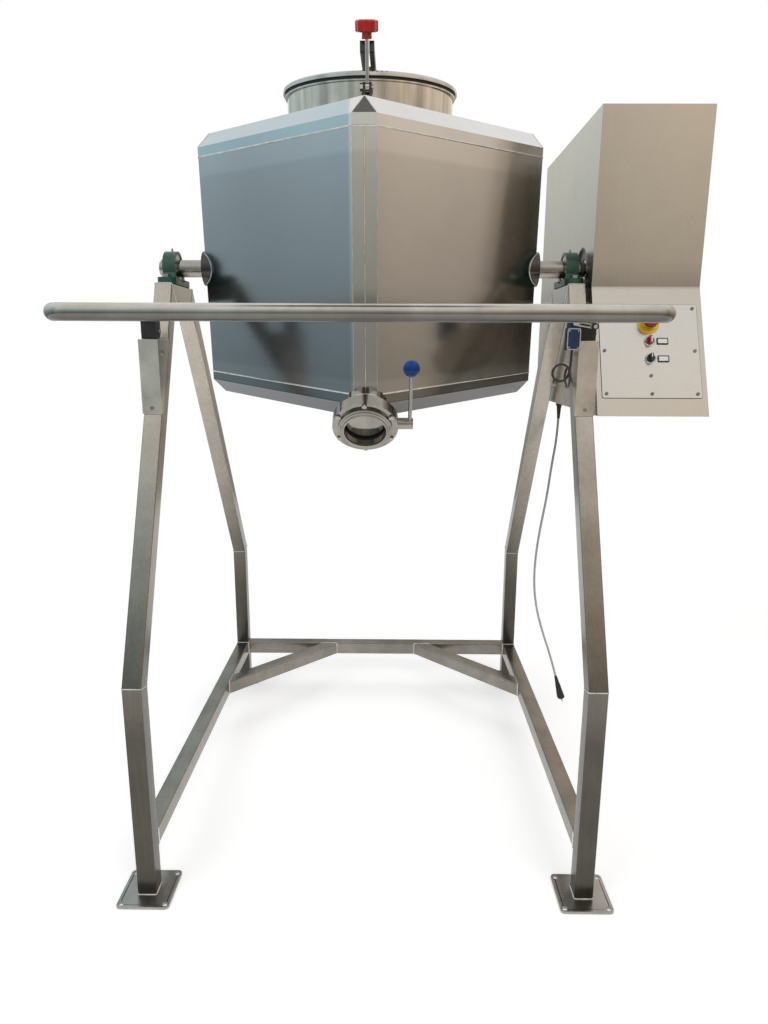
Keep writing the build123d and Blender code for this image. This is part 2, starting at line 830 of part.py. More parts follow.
def rear_panel():
    """The screwed panel that closes the cover's rear, with a field of vent slots."""
    panel = box_between((cover_left, cover_right), (cover_rear, cover_rear + cover_sheet),
                        (cover_bottom, cover_top))
    slot = extrude(Plane.XZ * SlotOverall(vent_slot_length, vent_slot_width), 10, both=True)
    middle = (cover_top + cover_bend) / 2
    for row in range(-3, 4):
        panel -= Pos(cover_middle, cover_rear, middle + row * vent_slot_pitch) * slot
    return panel


def mounting_plate():
    """The plate inside the cover's left wall that carries the gearbox and takes the bosses."""
    start = cover_left + cover_sheet
    ys = [y for y, z in boss_places()]
    zs = [z for y, z in boss_places()]
    margin = boss
    top = shaft_height + gearbox_flange / 2 + margin
    front = max(min(ys) - boss / 2, console_foot)
    plate = Polygon(
        (front, min(zs) - margin),
        (max(ys) + margin, min(zs) - margin),
        (max(ys) + margin, max(zs)),
        (gearbox_flange * 0.6, top),
        (-gearbox_flange * 0.6, top),
        (-gearbox_flange * 0.6, cover_bend),
        align=None,
    )
    solid = extrude(Plane.YZ * plate, mounting_thick)
    solid = Pos(start, 0, 0) * solid
    clear = extrude(Plane.YZ * cover_outline(cover_sheet + 1), cover_width)
    solid &= Pos(cover_left, 0, 0) * clear
    solid -= rod_x(gearbox_neck / 2, cover_left, start + 2 * mounting_thick, 0, shaft_height)
    for y, z in boss_places():
        solid -= rod_x(boss_bolt / 2 + bolt_clearance, cover_left, start + 2 * mounting_thick, y, z)
    return solid


def cover_bosses():
    """Spacer bosses between the struts and the cover, each with its bolt from inside."""
    pieces = []
    start = half_track + half_tube
    for y, z in boss_places():
        spacer = ring_x(boss / 2, boss_bolt / 2 + bolt_clearance, start, cover_left, y, z)
        pieces.append(spacer)
        head = cover_left + cover_sheet + mounting_thick
        bolt = Rot(0, 90, 0) * hex_bolt(boss_bolt, head - start + tube_wall)
        pieces.append(Pos(head, y, z) * bolt)
    return pieces


def gearbox():
    """A worm gearbox: flange, neck, round wheel case, worm case above it and motor flange."""
    flange_start = cover_left + cover_sheet + mounting_thick
    face = gearbox_face()
    end = face + gearbox_width
    middle = (face + end) / 2
    worm_z = shaft_height + worm_offset
    case = rod_x(gearbox_flange / 2, flange_start, flange_start + gearbox_flange_thick, 0, shaft_height)
    case += rod_x(gearbox_neck / 2, flange_start, face + 1, 0, shaft_height)
    case += rod_x(gearbox_body / 2, face, end, 0, shaft_height)
    worm_half = gearbox_body * 0.55
    case += rod_y(worm_housing / 2, -worm_half, worm_half, middle, worm_z)
    foot_half = gearbox_body * 0.45
    case += box_between((face, end), (-foot_half, foot_half),
                        (shaft_height - gearbox_body / 2 - 8, shaft_height))
    case += rod_y(motor_flange / 2, worm_half, worm_half + 12, middle, worm_z)
    case -= rod_x(output_sleeve / 2 + running_gap, flange_start - 1, end + 1, 0, shaft_height)
    return case


def output_sleeve_part():
    """The gearbox's hollow output shaft, keyed on the drum's right journal."""
    start = cover_left + cover_sheet + mounting_thick + 2
    end = gearbox_face() + gearbox_width + 3
    bore = journal / 2
    sleeve = rod_x(output_sleeve / 2, start, end, 0, shaft_height)
    return sleeve - rod_x(bore, start - 1, gearbox_face() + gearbox_width, 0, shaft_height)


def motor():
    """A finned motor behind the worm, with its fan cover and terminal box."""
    start = gearbox_body * 0.55 + 12
    middle = gearbox_face() + gearbox_width / 2
    body = rod_z(motor_body / 2, 0, motor_length)
    for index in range(motor_fin_count):
        fin = box_between((0, motor_fin / 2), (-1.5, 1.5), (12, motor_length - 6))
        body += Rot(0, 0, index * 360 / motor_fin_count) * fin
    body += rod_z(motor_fin / 2, 0, 12)
    body += rod_z(motor_fin / 2 + 2, motor_length - 6, motor_length + fan_cover_length)
    body += box_between(
        (motor_body * 0.3, motor_fin / 2 + terminal_box_height),
        (-terminal_box_width / 2, terminal_box_width / 2),
        (terminal_box_start, terminal_box_start + terminal_box_length),
    )
    turned = Rot(-90, 0, 0) * Rot(0, 0, -90) * body
    return Pos(middle, start, shaft_height + worm_offset) * turned


def control_panel():
    """The plate on the console with the holes for the operators and screws."""
    plate = extrude(RectangleRounded(panel_side, panel_side, 4), panel_sheet)
    middle = panel_start + panel_side / 2
    for place in (stop_place, *selector_places):
        plate -= Pos(0, middle - place, 0) * Cylinder(operator_hole / 2, 6 * panel_sheet)
    return on_console(plate, middle)


def panel_screw_places():
    """Across and down of the nine screws on the panel plate."""
    edge = (panel_side - 2 * panel_screw_pitch) / 2
    rows = (panel_start + edge, panel_start + panel_side / 2, panel_start + panel_side - edge)
    places = []
    for row in rows:
        for across in (-panel_screw_pitch, 0.0, panel_screw_pitch):
            if across or row != rows[1]:
                places.append((across, row))
    return places + [(0.0, (rows[1] + rows[2]) / 2 + 10)]


def panel_screws():
    """Round screw heads on the control panel and on the rear panel."""
    head = Pos(0, 0, screw_head_height / 2) * Cylinder(screw_head / 2, screw_head_height)
    screws = [
        on_console(Pos(0, 0, panel_sheet) * head, down, across)
        for across, down in panel_screw_places()
    ]
    edge = (cover_sheet + cover_flange) / 2
    face = cover_rear + cover_sheet
    for x in (cover_left + edge, cover_right - edge):
        for z in (cover_bottom + edge * 3, (cover_bottom + cover_top) / 2, cover_top - edge * 3):
            screws.append(rod_y(screw_head / 2, face, face + screw_head_height, x, z))
    return screws


def stop_collar_part():
    """The emergency stop's round yellow plate and its collar."""
    plate = Pos(0, 0, 1) * Cylinder(stop_plate / 2, 2)
    collar = rod_z(stop_collar / 2, 1, stop_collar_height)
    bore = Cylinder(operator_stem / 2 + joint_gap, 4 * stop_collar_height)
    return on_console(Pos(0, 0, panel_sheet) * (plate + collar - bore), stop_place)


def stop_button_part():
    """The red mushroom button with its stem."""
    low = stop_collar_height + stop_travel + stop_gap
    head = rod_z(stop_button / 2, low, low + stop_button_thick)
    head = fillet(head.edges().group_by(Axis.Z)[-1], 5)
    head += rod_z(operator_stem / 2, stop_gap, low + 1)
    return on_console(Pos(0, 0, panel_sheet) * head, stop_place)


def selector_bezels():
    """The two round bezels of the selectors."""
    bezel = rod_z(selector_bezel / 2, 0, selector_bezel_height)
    bezel = chamfer(bezel.edges().group_by(Axis.Z)[-1], 1.5)
    bezel -= Cylinder(selector_knob / 2 + joint_gap, 4 * selector_bezel_height)
    return [on_console(Pos(0, 0, panel_sheet) * bezel, place) for place in selector_places]


def selector_knob_part(place):
    """One selector's knob: a round cap with a raised grip, and its stem."""
    low = joint_gap
    cap = rod_z(selector_knob / 2, low, low + selector_knob_height)
    top = low + selector_knob_height
    grip = box_between((-selector_grip_width / 2, selector_grip_width / 2),
                       (-selector_knob / 2, selector_knob / 2), (top - 1, top + selector_grip_height))
    grip &= rod_z(selector_knob / 2, 0, 4 * top)
    knob = cap + grip
    knob += rod_z(operator_stem / 2, joint_gap - panel_sheet, low + 1)
    return on_console(Pos(0, 0, panel_sheet) * knob, place)


def contact_blocks():
    """The contact blocks behind the panel, one for each operator."""
    blocks = []
    for place in (stop_place, *selector_places):
        block = Box(contact_block, contact_block, contact_block_depth)
        block = Pos(0, 0, -contact_block_depth / 2 - 4) * block
        neck = ring_z(operator_hole / 2, operator_stem / 2 + joint_gap, -5, 0)
        blocks.append(on_console(block + neck, place))
    return blocks


def ring_z(outer, inner, start, end):
    """A ring about Z from start to end."""
    return rod_z(outer, start, end) - rod_z(inner, start - 1, end + 1)


def guard_height(y):
    """Height of the guard arms' middle line at y."""
    return guard_front_height + (y - guard_front) * math.tan(math.radians(guard_slope))


def guard_bar():
    """A round tube bent to a U: two arms back to the hinges and a bar across the front."""
    pivot_y = post_front + post / 2
    tail = pivot_y + guard_tail
    corners = [
        (-half_track, tail, guard_height(tail)),
        (-half_track, guard_front, guard_front_height),
        (half_track, guard_front, guard_front_height),
        (half_track, tail, guard_height(tail)),
    ]
    path = FilletPolyline(*corners, radius=guard_bend)
    way = Vector(*corners[1]) - Vector(*corners[0])
    section = Circle(guard_tube / 2) - Circle(guard_tube / 2 - guard_wall)
    bar = sweep(Plane(origin=corners[0], z_dir=way) * section, path)
    back = Vector(*corners[0]) - Vector(*corners[1])
    for x in (-half_track, half_track):
        start = Vector(x, tail, guard_height(tail))
        plug = Plane(origin=start, z_dir=back)
        bar += extrude(plug * Circle(guard_tube / 2), 3)
    return bar


def guard_hinge_heads():
    """The moving half of each hinge: a block under the arm, forked round the post's tongue."""
    heads = []
    pivot_y = post_front + post / 2
    half = post / 2
    for x in (-half_track, half_track):
        low = pivot_height - knuckle_radius
        top = guard_height(pivot_y)
        outline = Polygon(
            (pivot_y - half, low),
            (pivot_y, low),
            (pivot_y, pivot_height),
            (pivot_y + knuckle_radius, pivot_height),
            (pivot_y + knuckle_radius, top),
            (pivot_y - half, top),
            align=None,
        )
        outline += Pos(pivot_y, pivot_height) * Circle(knuckle_radius)
        block = extrude(Plane.YZ * outline, half, both=True)
        slot = tongue / 2 + joint_gap
        reach = knuckle_radius + joint_gap
        block -= box_between((-slot, slot), (pivot_y - post, pivot_y + post),
                             (low - 1, pivot_height))
        block -= rod_x(reach, -slot, slot, pivot_y, pivot_height)
        block -= box_between((-slot, slot), (pivot_y, pivot_y + post),
                             (low - 1, pivot_height + reach))
        block -= rod_x(pivot_bolt / 2, -post, post, pivot_y, pivot_height)
        arm_way = Vector(0, 1, math.tan(math.radians(guard_slope)))
        arm = Plane(origin=(0, pivot_y - post, guard_height(pivot_y - post)), z_dir=arm_way)
        block -= extrude(arm * Circle(guard_tube / 2), 3 * post)
        heads.append(Pos(x, 0, 0) * max(block.solids(), key=lambda s: s.volume))
    return heads


def guard_posts():
    """The fixed half of each hinge: a square post with a round-topped tongue."""
    posts = []
    pivot_y = post_front + post / 2
    half = post / 2
    shoulder = pivot_height - knuckle_radius - joint_gap
    for x in (-half_track, half_track):
        foot = box_between((-half, half), (pivot_y - half, pivot_y + half), (post_foot, shoulder))
        tip = box_between((-tongue / 2, tongue / 2),
                          (pivot_y - knuckle_radius, pivot_y + knuckle_radius),
                          (shoulder - 1, pivot_height))
        tip += rod_x(knuckle_radius, -tongue / 2, tongue / 2, pivot_y, pivot_height)
        piece = foot + tip
        piece -= rod_x(pivot_bolt / 2 + running_gap, -post, post, pivot_y, pivot_height)
        piece -= rod_x(post_bolt / 2, -post, post, pivot_y, post_bolt_height)
        posts.append(Pos(x, 0, 0) * piece)
    return posts


def pivot_bolts():
    """The two bolts that the guard turns on, fast in the moving heads."""
    pivot_y = post_front + post / 2
    bolts = []
    for x in (-half_track, half_track):
        bolt = rod_x(pivot_bolt / 2, x - post / 2 - 1, x + post / 2 + 1, pivot_y, pivot_height)
        for side in (-1, 1):
            head = Rot(0, 90 * side, 0) * extrude(RegularPolygon(pivot_bolt * 0.8, 6), 5)
            bolt += Pos(x + side * post / 2, pivot_y, pivot_height) * head
        bolts.append(bolt)
    return bolts


def guard_channel(side):
    """A folded channel on the front strut: a flat front wall and two wedge-shaped sides."""
    half = half_tube + channel_sheet
    front_in = channel_front + channel_sheet
    wall = box_between((-half, half), (channel_front, front_in), (channel_bottom, channel_top))
    side_view = Polygon(
        (channel_front, channel_bottom),
        (strut_front(channel_bottom) + channel_lap, channel_bottom),
        (strut_front(channel_top) + channel_lap, channel_top),
        (channel_front, channel_top),
        align=None,
    )
    body = wall
    for way in (-1, 1):
        cheek = extrude(Plane.YZ * side_view, channel_sheet * way)
        body += Pos(way * half_tube, 0, 0) * cheek
    body -= rod_x(post_bolt / 2, -post, post, post_front + post / 2, post_bolt_height)
    return Pos(side * half_track, 0, 0) * body


def channel_bolts():
    """The bolt through each channel and post, and the button-headed screw low on each front wall."""
    pieces = []
    half = half_tube + channel_sheet
    y = post_front + post / 2
    for x in (-half_track, half_track):
        bolt = rod_x(post_bolt / 2, x - half - 1, x + half + 1, y, post_bolt_height)
        for side in (-1, 1):
            head = Rot(0, 90 * side, 0) * extrude(RegularPolygon(post_bolt * 0.85, 6), 4.5)
            bolt += Pos(x + side * half, y, post_bolt_height) * head
        pieces.append(bolt)
        for side in (-1, 1):
            start = x + side * post / 2
            spacer = ring_x(post_bolt, post_bolt / 2, min(start, x + side * half_tube),
                            max(start, x + side * half_tube), y, post_bolt_height)
            pieces.append(spacer)
        screw_y = channel_front
        pieces.append(rod_y(5, screw_y - 3, screw_y, x, channel_bottom + 16))
    return pieces


switch_face = half_track - half_tube - channel_sheet
switch_x = switch_face - switch_width / 2
head_x = switch_x
lever_y = switch_front - 5 - switch_lever_thick
lever_z = switch_top + head_height * 0.6
roller_y = lever_y - roller_width / 2 - 0.3
roller_z = guard_height(roller_y) - guard_tube / 2 - roller / 2 - 0.5
roller_x = head_x + math.sqrt(switch_lever**2 - (lever_z - roller_z) ** 2)


def limit_switch():
    """The switch's body with its head, on the inner wall of the right channel."""
    left = switch_face - switch_width
    back = switch_front + switch_depth
    body = box_between((left, switch_face), (switch_front, back), (switch_top - switch_height, switch_top))
    body = fillet(body.edges().filter_by(Axis.Z), 3)
    half = head_size / 2
    head = box_between((head_x - half, head_x + half), (switch_front + 1, back - 2),
                       (switch_top, switch_top + head_height))
    head = chamfer(head.edges().group_by(Axis.Z)[-1], 3)
    nose = rod_y(8, switch_front - 4, switch_front + 6, head_x, lever_z)
    body = body + head + nose
    return body - rod_y(switch_pin / 2 + running_gap, switch_front - 10, switch_front + 4, head_x, lever_z)


def switch_lever_part():
    """The slotted lever on the switch's pin, with its roller on a rivet."""
    reach = switch_lever
    bar = SlotCenterToCenter(reach, switch_lever_width)
    bar -= SlotCenterToCenter(reach * 0.5, 4.5)
    bar = extrude(bar, switch_lever_thick)
    bar = Pos(reach / 2, 0, 0) * bar
    fall = math.degrees(math.asin((lever_z - roller_z) / reach))
    # Turned so that the lever's width is upright, its back on the plane at lever_y + its thickness
    bar = Pos(head_x, lever_y + switch_lever_thick, lever_z) * Rot(0, fall, 0) * Rot(90, 0, 0) * bar
    pin = rod_y(switch_pin / 2, lever_y - 2, switch_front + 2, head_x, lever_z)
    rivet = rod_y(roller_pin / 2, roller_y - roller_width / 2 - 2, lever_y + 2, roller_x, roller_z)
    rivet += rod_y(roller_pin, roller_y - roller_width / 2 - 2, roller_y - roller_width / 2 - 0.5,
                   roller_x, roller_z)
    return bar + pin + rivet


def switch_roller():
    """The roller on the lever's rivet."""
    half = roller_width / 2
    wheel = rod_y(roller / 2, roller_y - half, roller_y + half, roller_x, roller_z)
    return wheel - rod_y(roller_pin / 2 + running_gap, roller_y - roller, roller_y + roller,
                         roller_x, roller_z)


def cord_tube(name, points, diameter):
    """A round tube along straight runs joined by arcs as large as the runs allow."""
    points = [Vector(*p) for p in points]
    radii = []
    for a, b, c in zip(points, points[1:], points[2:]):
        turn = math.radians((b - a).get_angle(c - b))
        radii.append(0.45 * min((b - a).length, (c - b).length) / math.tan(turn / 2))
    print(name, "radii", [round(r) for r in radii])
    path = FilletPolyline(*points, radius=radii)
    section = Plane(origin=points[0], z_dir=points[1] - points[0]) * Circle(diameter / 2)
    tube = sweep(section, path)
    exact = math.pi * diameter**2 / 4 * path.length
    print(name, "length", round(path.length), "volume ratio", round(tube.volume / exact, 4))
    return tube


# The switch's cable: down from its gland, one loop, then back between the strut and the drum's side
cable_exit = (switch_x, switch_front + switch_depth / 2, switch_top - switch_height)
cable_steps = [
    (0, 0, 0),
    (0, 0, -35),
    (-6.5, -4, -68),
    (-19.5, -6, -81),
    (-37.5, -8, -81),
    (-50.5, -10, -68),
    (-50.5, -12, -50),
    (-37.5, -14, -37),
    (-19.5, -15, -37),
    (-6.5, -15, -50),
    (-3.5, -10, -75),
    (-0.5, 8, -94),
    (2.5, 34, -101),
    (6.5, 69, -96),
    (10.5, 104, -81),
    (16.5, 134, -63),
    (29.5, 158, -45),
    (51.5, 170, -37),
]
cable_points = [tuple(a + b for a, b in zip(cable_exit, step)) for step in cable_steps]
cable_points.append((cover_left, *cable_points[-1][1:]))

# The supply cord: down from its gland in a gentle S to the plug
cord_exit = (gland_x, gland_y, cover_bottom - gland_height)
cord_steps = [
    (0, 0, 0),
    (0, 0, -95),
    (-15, -1, -205),
    (-26, -2, -320),
    (-44, -2, -435),
    (-55, -1, -540),
    (-56, 0, -645),
    (-41, 1, -745),
    (-12, 1, -840),
    (20, 0, -927),
    (44, 0, -1009),
]
cord_points = [tuple(a + b for a, b in zip(cord_exit, step)) for step in cord_steps]


def cord_gland():
    """The gland in the cover's floor that the supply cord leaves through."""
    low = cover_bottom - gland_height
    nut = Pos(gland_x, gland_y, low + 6) * extrude(RegularPolygon(gland / 2, 6), gland_height - 6)
    dome = rod_z(gland * 0.36, low, low + 7, gland_x, gland_y)
    return nut + dome + rod_z(gland * 0.4, cover_bottom - 1, cover_bottom + 8, gland_x, gland_y)


def power_plug():
    """A two-pin plug: strain relief, waisted body and two round pins, hanging on the cord."""
    end, before = Vector(*cord_points[-1]), Vector(*cord_points[-2])
    plane = Plane(origin=end, x_dir=(0, 1, 0), z_dir=end - before)
    relief = Pos(0, 0, plug_relief / 2) * Cone(cord * 0.62, cord * 0.95, plug_relief)
    body = loft([
        Plane(origin=(0, 0, plug_relief)) * Ellipse(plug_thick * 0.32, plug_width * 0.30),
        Plane(origin=(0, 0, plug_relief + plug_body * 0.45)) * Ellipse(plug_thick * 0.40, plug_width * 0.42),
        Plane(origin=(0, 0, plug_relief + plug_body)) * Ellipse(plug_thick / 2, plug_width / 2),
    ])
    plug = relief + body
    top = plug_relief + plug_body
    for y in (-plug_pin_pitch / 2, plug_pin_pitch / 2):
        plug += rod_z(plug_pin / 2, top - 1, top + plug_pin_length, 0, y)
    return plane.location * plug


def as_solids(shape):
    """The separate solids of a shape or of a list of shapes."""
    shapes = shape if isinstance(shape, (list, tuple)) else [shape]
    return [solid for item in shapes for solid in item.solids()]


for name, left_tube in side_frame(-1).items():
    parts[name] = [left_tube, side_frame(1)[name]]
parts["lower_legs"] = parts.pop("front_legs") + parts.pop("rear_legs")
parts["corner_braces"] = [corner_brace(-1), corner_brace(1)]
parts["bearing_housings"] = [pillow_block(-1), pillow_block(1)]
parts["guard_channels"] = [guard_channel(-1), guard_channel(1)]
parts["rear_crossbar"] = rear_crossbar()
parts["foot_plates"] = foot_plates()
parts["bearing_outer_rings"] = [outer_ring(-1), outer_ring(1)]
parts["bearing_bolts"] = bearing_bolts()

top_cap, bottom_cap, side_panels = drum_shell()
parts["drum_top_cap"] = top_cap
parts["drum_bottom_cap"] = bottom_cap
parts["drum_side_panels"] = side_panels
drum_solid = drum_place(chamfered_cube(0))
parts["drum_shafts"] = [drum_shaft(-1, drum_solid), drum_shaft(1, drum_solid)]
parts["bearing_inner_rings"] = [inner_ring(-1), inner_ring(1)]
parts["gearbox_output_sleeve"] = output_sleeve_part()
parts["inlet_neck"] = inlet_neck()
parts["lid_hinge_bracket"] = hinge_bracket()
parts["clamp_bracket"] = clamp_bracket()
parts["bracket_pins"] = bracket_pins()
parts["lid"] = lid()
parts["lid_gasket"] = inlet_gasket()
parts["lid_yoke"] = lid_yoke()
parts["swing_bolt"] = swing_bolt()
parts["star_knob"] = star_knob()

parts["outlet_stub"] = outlet_stub()
parts["valve_body"] = [valve_half("inner"), valve_half("outer"), stem_sleeve()]
parts["valve_seal"] = valve_seal()
parts["valve_bolts"] = valve_bolts()
parts["valve_disc"] = valve_disc()
parts["valve_lever"], parts["lever_ball"] = valve_lever()

parts["drive_cover"] = drive_cover()
parts["cover_rear_panel"] = rear_panel()
parts["mounting_plate"] = mounting_plate()
parts["cover_bosses"] = cover_bosses()
parts["gearbox"] = gearbox()
parts["motor"] = motor()
parts["control_panel"] = control_panel()
parts["panel_screws"] = panel_screws()
parts["stop_collar"] = stop_collar_part()
parts["stop_button"] = stop_button_part()
parts["selector_bezels"] = selector_bezels()
parts["selector_knob_upper"] = selector_knob_part(selector_places[0])
parts["selector_knob_lower"] = selector_knob_part(selector_places[1])
parts["contact_blocks"] = contact_blocks()

parts["guard_bar"] = guard_bar()
parts["guard_hinge_heads"] = guard_hinge_heads()
parts["guard_pivot_bolts"] = pivot_bolts()
parts["guard_posts"] = guard_posts()
parts["channel_bolts"] = channel_bolts()
parts["limit_switch"] = limit_switch()
parts["switch_lever"] = switch_lever_part()
parts["switch_roller"] = switch_roller()
parts["switch_cable"] = cord_tube("switch cable", cable_points, cable)
parts["cord_gland"] = cord_gland()
parts["power_cord"] = cord_tube("power cord", cord_points, cord)
parts["power_plug"] = power_plug()

os.makedirs("parts", exist_ok=True)
for name, shape in parts.items():
    placed = [Pos(-origin_x, -origin_y, 0) * solid for solid in as_solids(shape)]
    export_step(placed[0] if len(placed) == 1 else Compound(children=placed), f"parts/{name}.step")
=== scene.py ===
"""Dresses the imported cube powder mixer: finishes, weld beads, cords, labels and soft light."""

import json
import logging
import math
from dataclasses import dataclass, field
from enum import Enum
from typing import Callable, Iterable, Optional, Sequence

import bmesh
import bpy
import numpy as np
from mathutils import Matrix, Vector

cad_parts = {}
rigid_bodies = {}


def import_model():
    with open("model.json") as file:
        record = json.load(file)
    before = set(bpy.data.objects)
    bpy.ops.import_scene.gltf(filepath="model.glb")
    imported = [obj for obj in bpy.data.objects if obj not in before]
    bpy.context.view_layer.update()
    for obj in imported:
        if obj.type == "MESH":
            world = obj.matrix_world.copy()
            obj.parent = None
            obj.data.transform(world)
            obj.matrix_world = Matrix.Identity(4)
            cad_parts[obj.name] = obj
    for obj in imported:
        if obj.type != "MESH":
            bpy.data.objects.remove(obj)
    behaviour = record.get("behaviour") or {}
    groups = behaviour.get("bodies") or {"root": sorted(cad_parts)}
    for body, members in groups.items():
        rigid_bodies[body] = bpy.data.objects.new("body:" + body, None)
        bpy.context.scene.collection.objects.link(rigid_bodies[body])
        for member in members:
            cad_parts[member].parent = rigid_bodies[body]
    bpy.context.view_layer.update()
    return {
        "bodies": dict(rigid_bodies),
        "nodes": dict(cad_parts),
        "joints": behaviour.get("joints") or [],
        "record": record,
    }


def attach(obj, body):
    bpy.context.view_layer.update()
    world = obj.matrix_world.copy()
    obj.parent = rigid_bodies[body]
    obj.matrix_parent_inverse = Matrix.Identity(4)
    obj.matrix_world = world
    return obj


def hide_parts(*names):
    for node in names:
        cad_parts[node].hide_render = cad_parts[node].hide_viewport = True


log = logging.getLogger("cube_mixer")

Colour = tuple[float, float, float]
Spot = tuple[float, float, float]
Points = np.ndarray
Piece = bpy.types.Object
Socket = bpy.types.NodeSocket

# The machine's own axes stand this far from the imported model's origin, in millimetres.
ORIGIN = np.array([133.0, -13.925, 0.0])
SHAFT_HEIGHT = 1670.2
DRUM_TILT = math.radians(5.5)
# How steeply the outlet's axis falls: it is the cube's long diagonal.
OUTLET_SLOPE = math.atan(1 / math.sqrt(2))
# The four corners of a square in turn, as signs.
CORNERS = ((-1, -1), (1, -1), (1, 1), (-1, 1))
# The depth of every material's bump, in metres.
BUMP_DEPTH = 0.0003


def place(points: Sequence) -> Points:
    """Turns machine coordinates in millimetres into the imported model's metres.

    Args:
        points: one point or an array of points, (..., 3).

    Returns:
        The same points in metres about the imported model's origin.
    """
    return (np.asarray(points, dtype=float) - ORIGIN) / 1000.0


def drum_place(points: Sequence) -> Points:
    """Turns points in the drum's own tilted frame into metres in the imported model.

    The drum's frame is level and centred on the shaft; it is turned by its tilt about X.

    Args:
        points: (..., 3) in millimetres.

    Returns:
        The points in metres.
    """
    p = np.asarray(points, dtype=float)
    c, s = math.cos(DRUM_TILT), math.sin(DRUM_TILT)
    y = p[..., 1] * c - p[..., 2] * s
    z = p[..., 1] * s + p[..., 2] * c + SHAFT_HEIGHT
    return place(np.stack([p[..., 0], y, z], axis=-1))


def outlet_frame(points: Sequence) -> Points:
    """Turns points about the outlet's axis into the drum's own frame.

    The axis runs from the drum's middle down through its front bottom corner.

    Args:
        points: (..., 3) in millimetres: across, up the outlet's face, and out along its axis.

    Returns:
        The points in the drum's frame, in millimetres.
    """
    p = np.asarray(points, dtype=float)
    c, s = math.cos(OUTLET_SLOPE), math.sin(OUTLET_SLOPE)
    return np.stack([p[..., 0], -p[..., 1] * s - p[..., 2] * c,
                     p[..., 1] * c - p[..., 2] * s], axis=-1)


def outlet_place(points: Sequence) -> Points:
    """Turns points about the outlet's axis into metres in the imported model."""
    return drum_place(outlet_frame(points))


def angles(count: int) -> Points:
    """Even angles round a full turn, in radians."""
    return np.linspace(0, 2 * np.pi, count, endpoint=False)


def turned(radius: Sequence, height: Sequence, count: int) -> Points:
    """Rings about the Z axis: at an angle t, x = r cos(t), y = r sin(t) and z = h.

    Args:
        radius: (n,) a radius for each ring, or (n, count) one for each of its points.
        height: (n,) the rings' heights.
        count: points round a ring.

    Returns:
        (n, count, 3) points.
    """
    turn, r = angles(count), np.asarray(radius, dtype=float)
    r = r[:, None] if r.ndim == 1 else r
    z = np.repeat(np.asarray(height, dtype=float)[:, None], count, axis=1)
    return np.stack([r * np.cos(turn), r * np.sin(turn), z], axis=-1)


def make_object(name: str, verts: Points, faces: list, smooth: bool = True) -> bpy.types.Object:
    """Makes a mesh object from points and faces.

    Args:
        name: the piece's name.
        verts: (n, 3) points in metres.
        faces: lists of point numbers.
        smooth: whether its faces are shaded smooth.

    Returns:
        The new object, linked to the scene.
    """
    mesh = bpy.data.meshes.new(name)
    mesh.from_pydata(verts.tolist(), [], faces)
    mesh.polygons.foreach_set("use_smooth", np.full(len(mesh.polygons), smooth))
    mesh.update()
    piece = bpy.data.objects.new(name, mesh)
    bpy.context.scene.collection.objects.link(piece)
    return piece


def grid_faces(rows: int, cols: int, close_rows: bool, close_cols: bool, start: int = 0) -> list:
    """Quads over a grid of points, numbered row by row.

    Args:
        rows: points along the first parameter.
        cols: points along the second parameter.
        close_rows: whether the last row joins the first.
        close_cols: whether the last column joins the first.
        start: the number of the grid's first point.

    Returns:
        A list of quads.
    """
    i = np.arange(rows if close_rows else rows - 1)
    j = np.arange(cols if close_cols else cols - 1)
    a, b = np.meshgrid(i, j, indexing="ij")
    a2, b2 = (a + 1) % rows, (b + 1) % cols
    quads = np.stack([a * cols + b, a2 * cols + b, a2 * cols + b2, a * cols + b2], axis=-1)
    return (quads.reshape(-1, 4) + start).tolist()


def tube_faces(rows: int, cols: int, start: int = 0) -> list:
    """The faces of a skin over a stack of closed rings, with a flat face at each end.

    Args:
        rows: the number of rings.
        cols: points round a ring.
        start: the number of the first ring's first point.

    Returns:
        A list of quads and two end faces.
    """
    first = list(range(start, start + cols))
    last = [point + (rows - 1) * cols for point in first]
    return grid_faces(rows, cols, False, True, start) + [first, last[::-1]]


def face_outwards(piece: Piece) -> Piece:
    """Turns a closed piece's faces outwards.

    Args:
        piece: a mesh object with no open edge.

    Returns:
        The same object.
    """
    work = bmesh.new()
    work.from_mesh(piece.data)
    bmesh.ops.recalc_face_normals(work, faces=work.faces)
    work.to_mesh(piece.data)
    work.free()
    return piece


def lofted(name: str, rings: Points, looped: bool = False, smooth: bool = True) -> Piece:
    """A skin over a stack of closed rings, with a flat cap at each end unless it is looped.

    Args:
        name: the piece's name.
        rings: (rings, points round, 3) in metres.
        looped: whether the last ring joins the first.
        smooth: whether it is shaded smooth.

    Returns:
        The new object.
    """
    rows, cols = rings.shape[:2]
    faces = grid_faces(rows, cols, True, True) if looped else tube_faces(rows, cols)
    return face_outwards(make_object(name, rings.reshape(-1, 3), faces, smooth))


def resample(path: Points, step: float, closed: bool) -> Points:
    """Points at even distances along a polyline.

    Args:
        path: (n, 3) corners.
        step: the wanted distance, in the same unit.
        closed: whether the last corner joins the first.

    Returns:
        (m, 3) points; a closed path doesn't repeat its first.
    """
    corners = np.vstack([path, path[:1]]) if closed else path
    reach = np.concatenate([[0.0], np.cumsum(np.linalg.norm(np.diff(corners, axis=0), axis=1))])
    count = max(8, int(reach[-1] / step))
    at = np.linspace(0, reach[-1], count, endpoint=not closed)
    return np.stack([np.interp(at, reach, corners[:, k]) for k in range(3)], axis=-1)


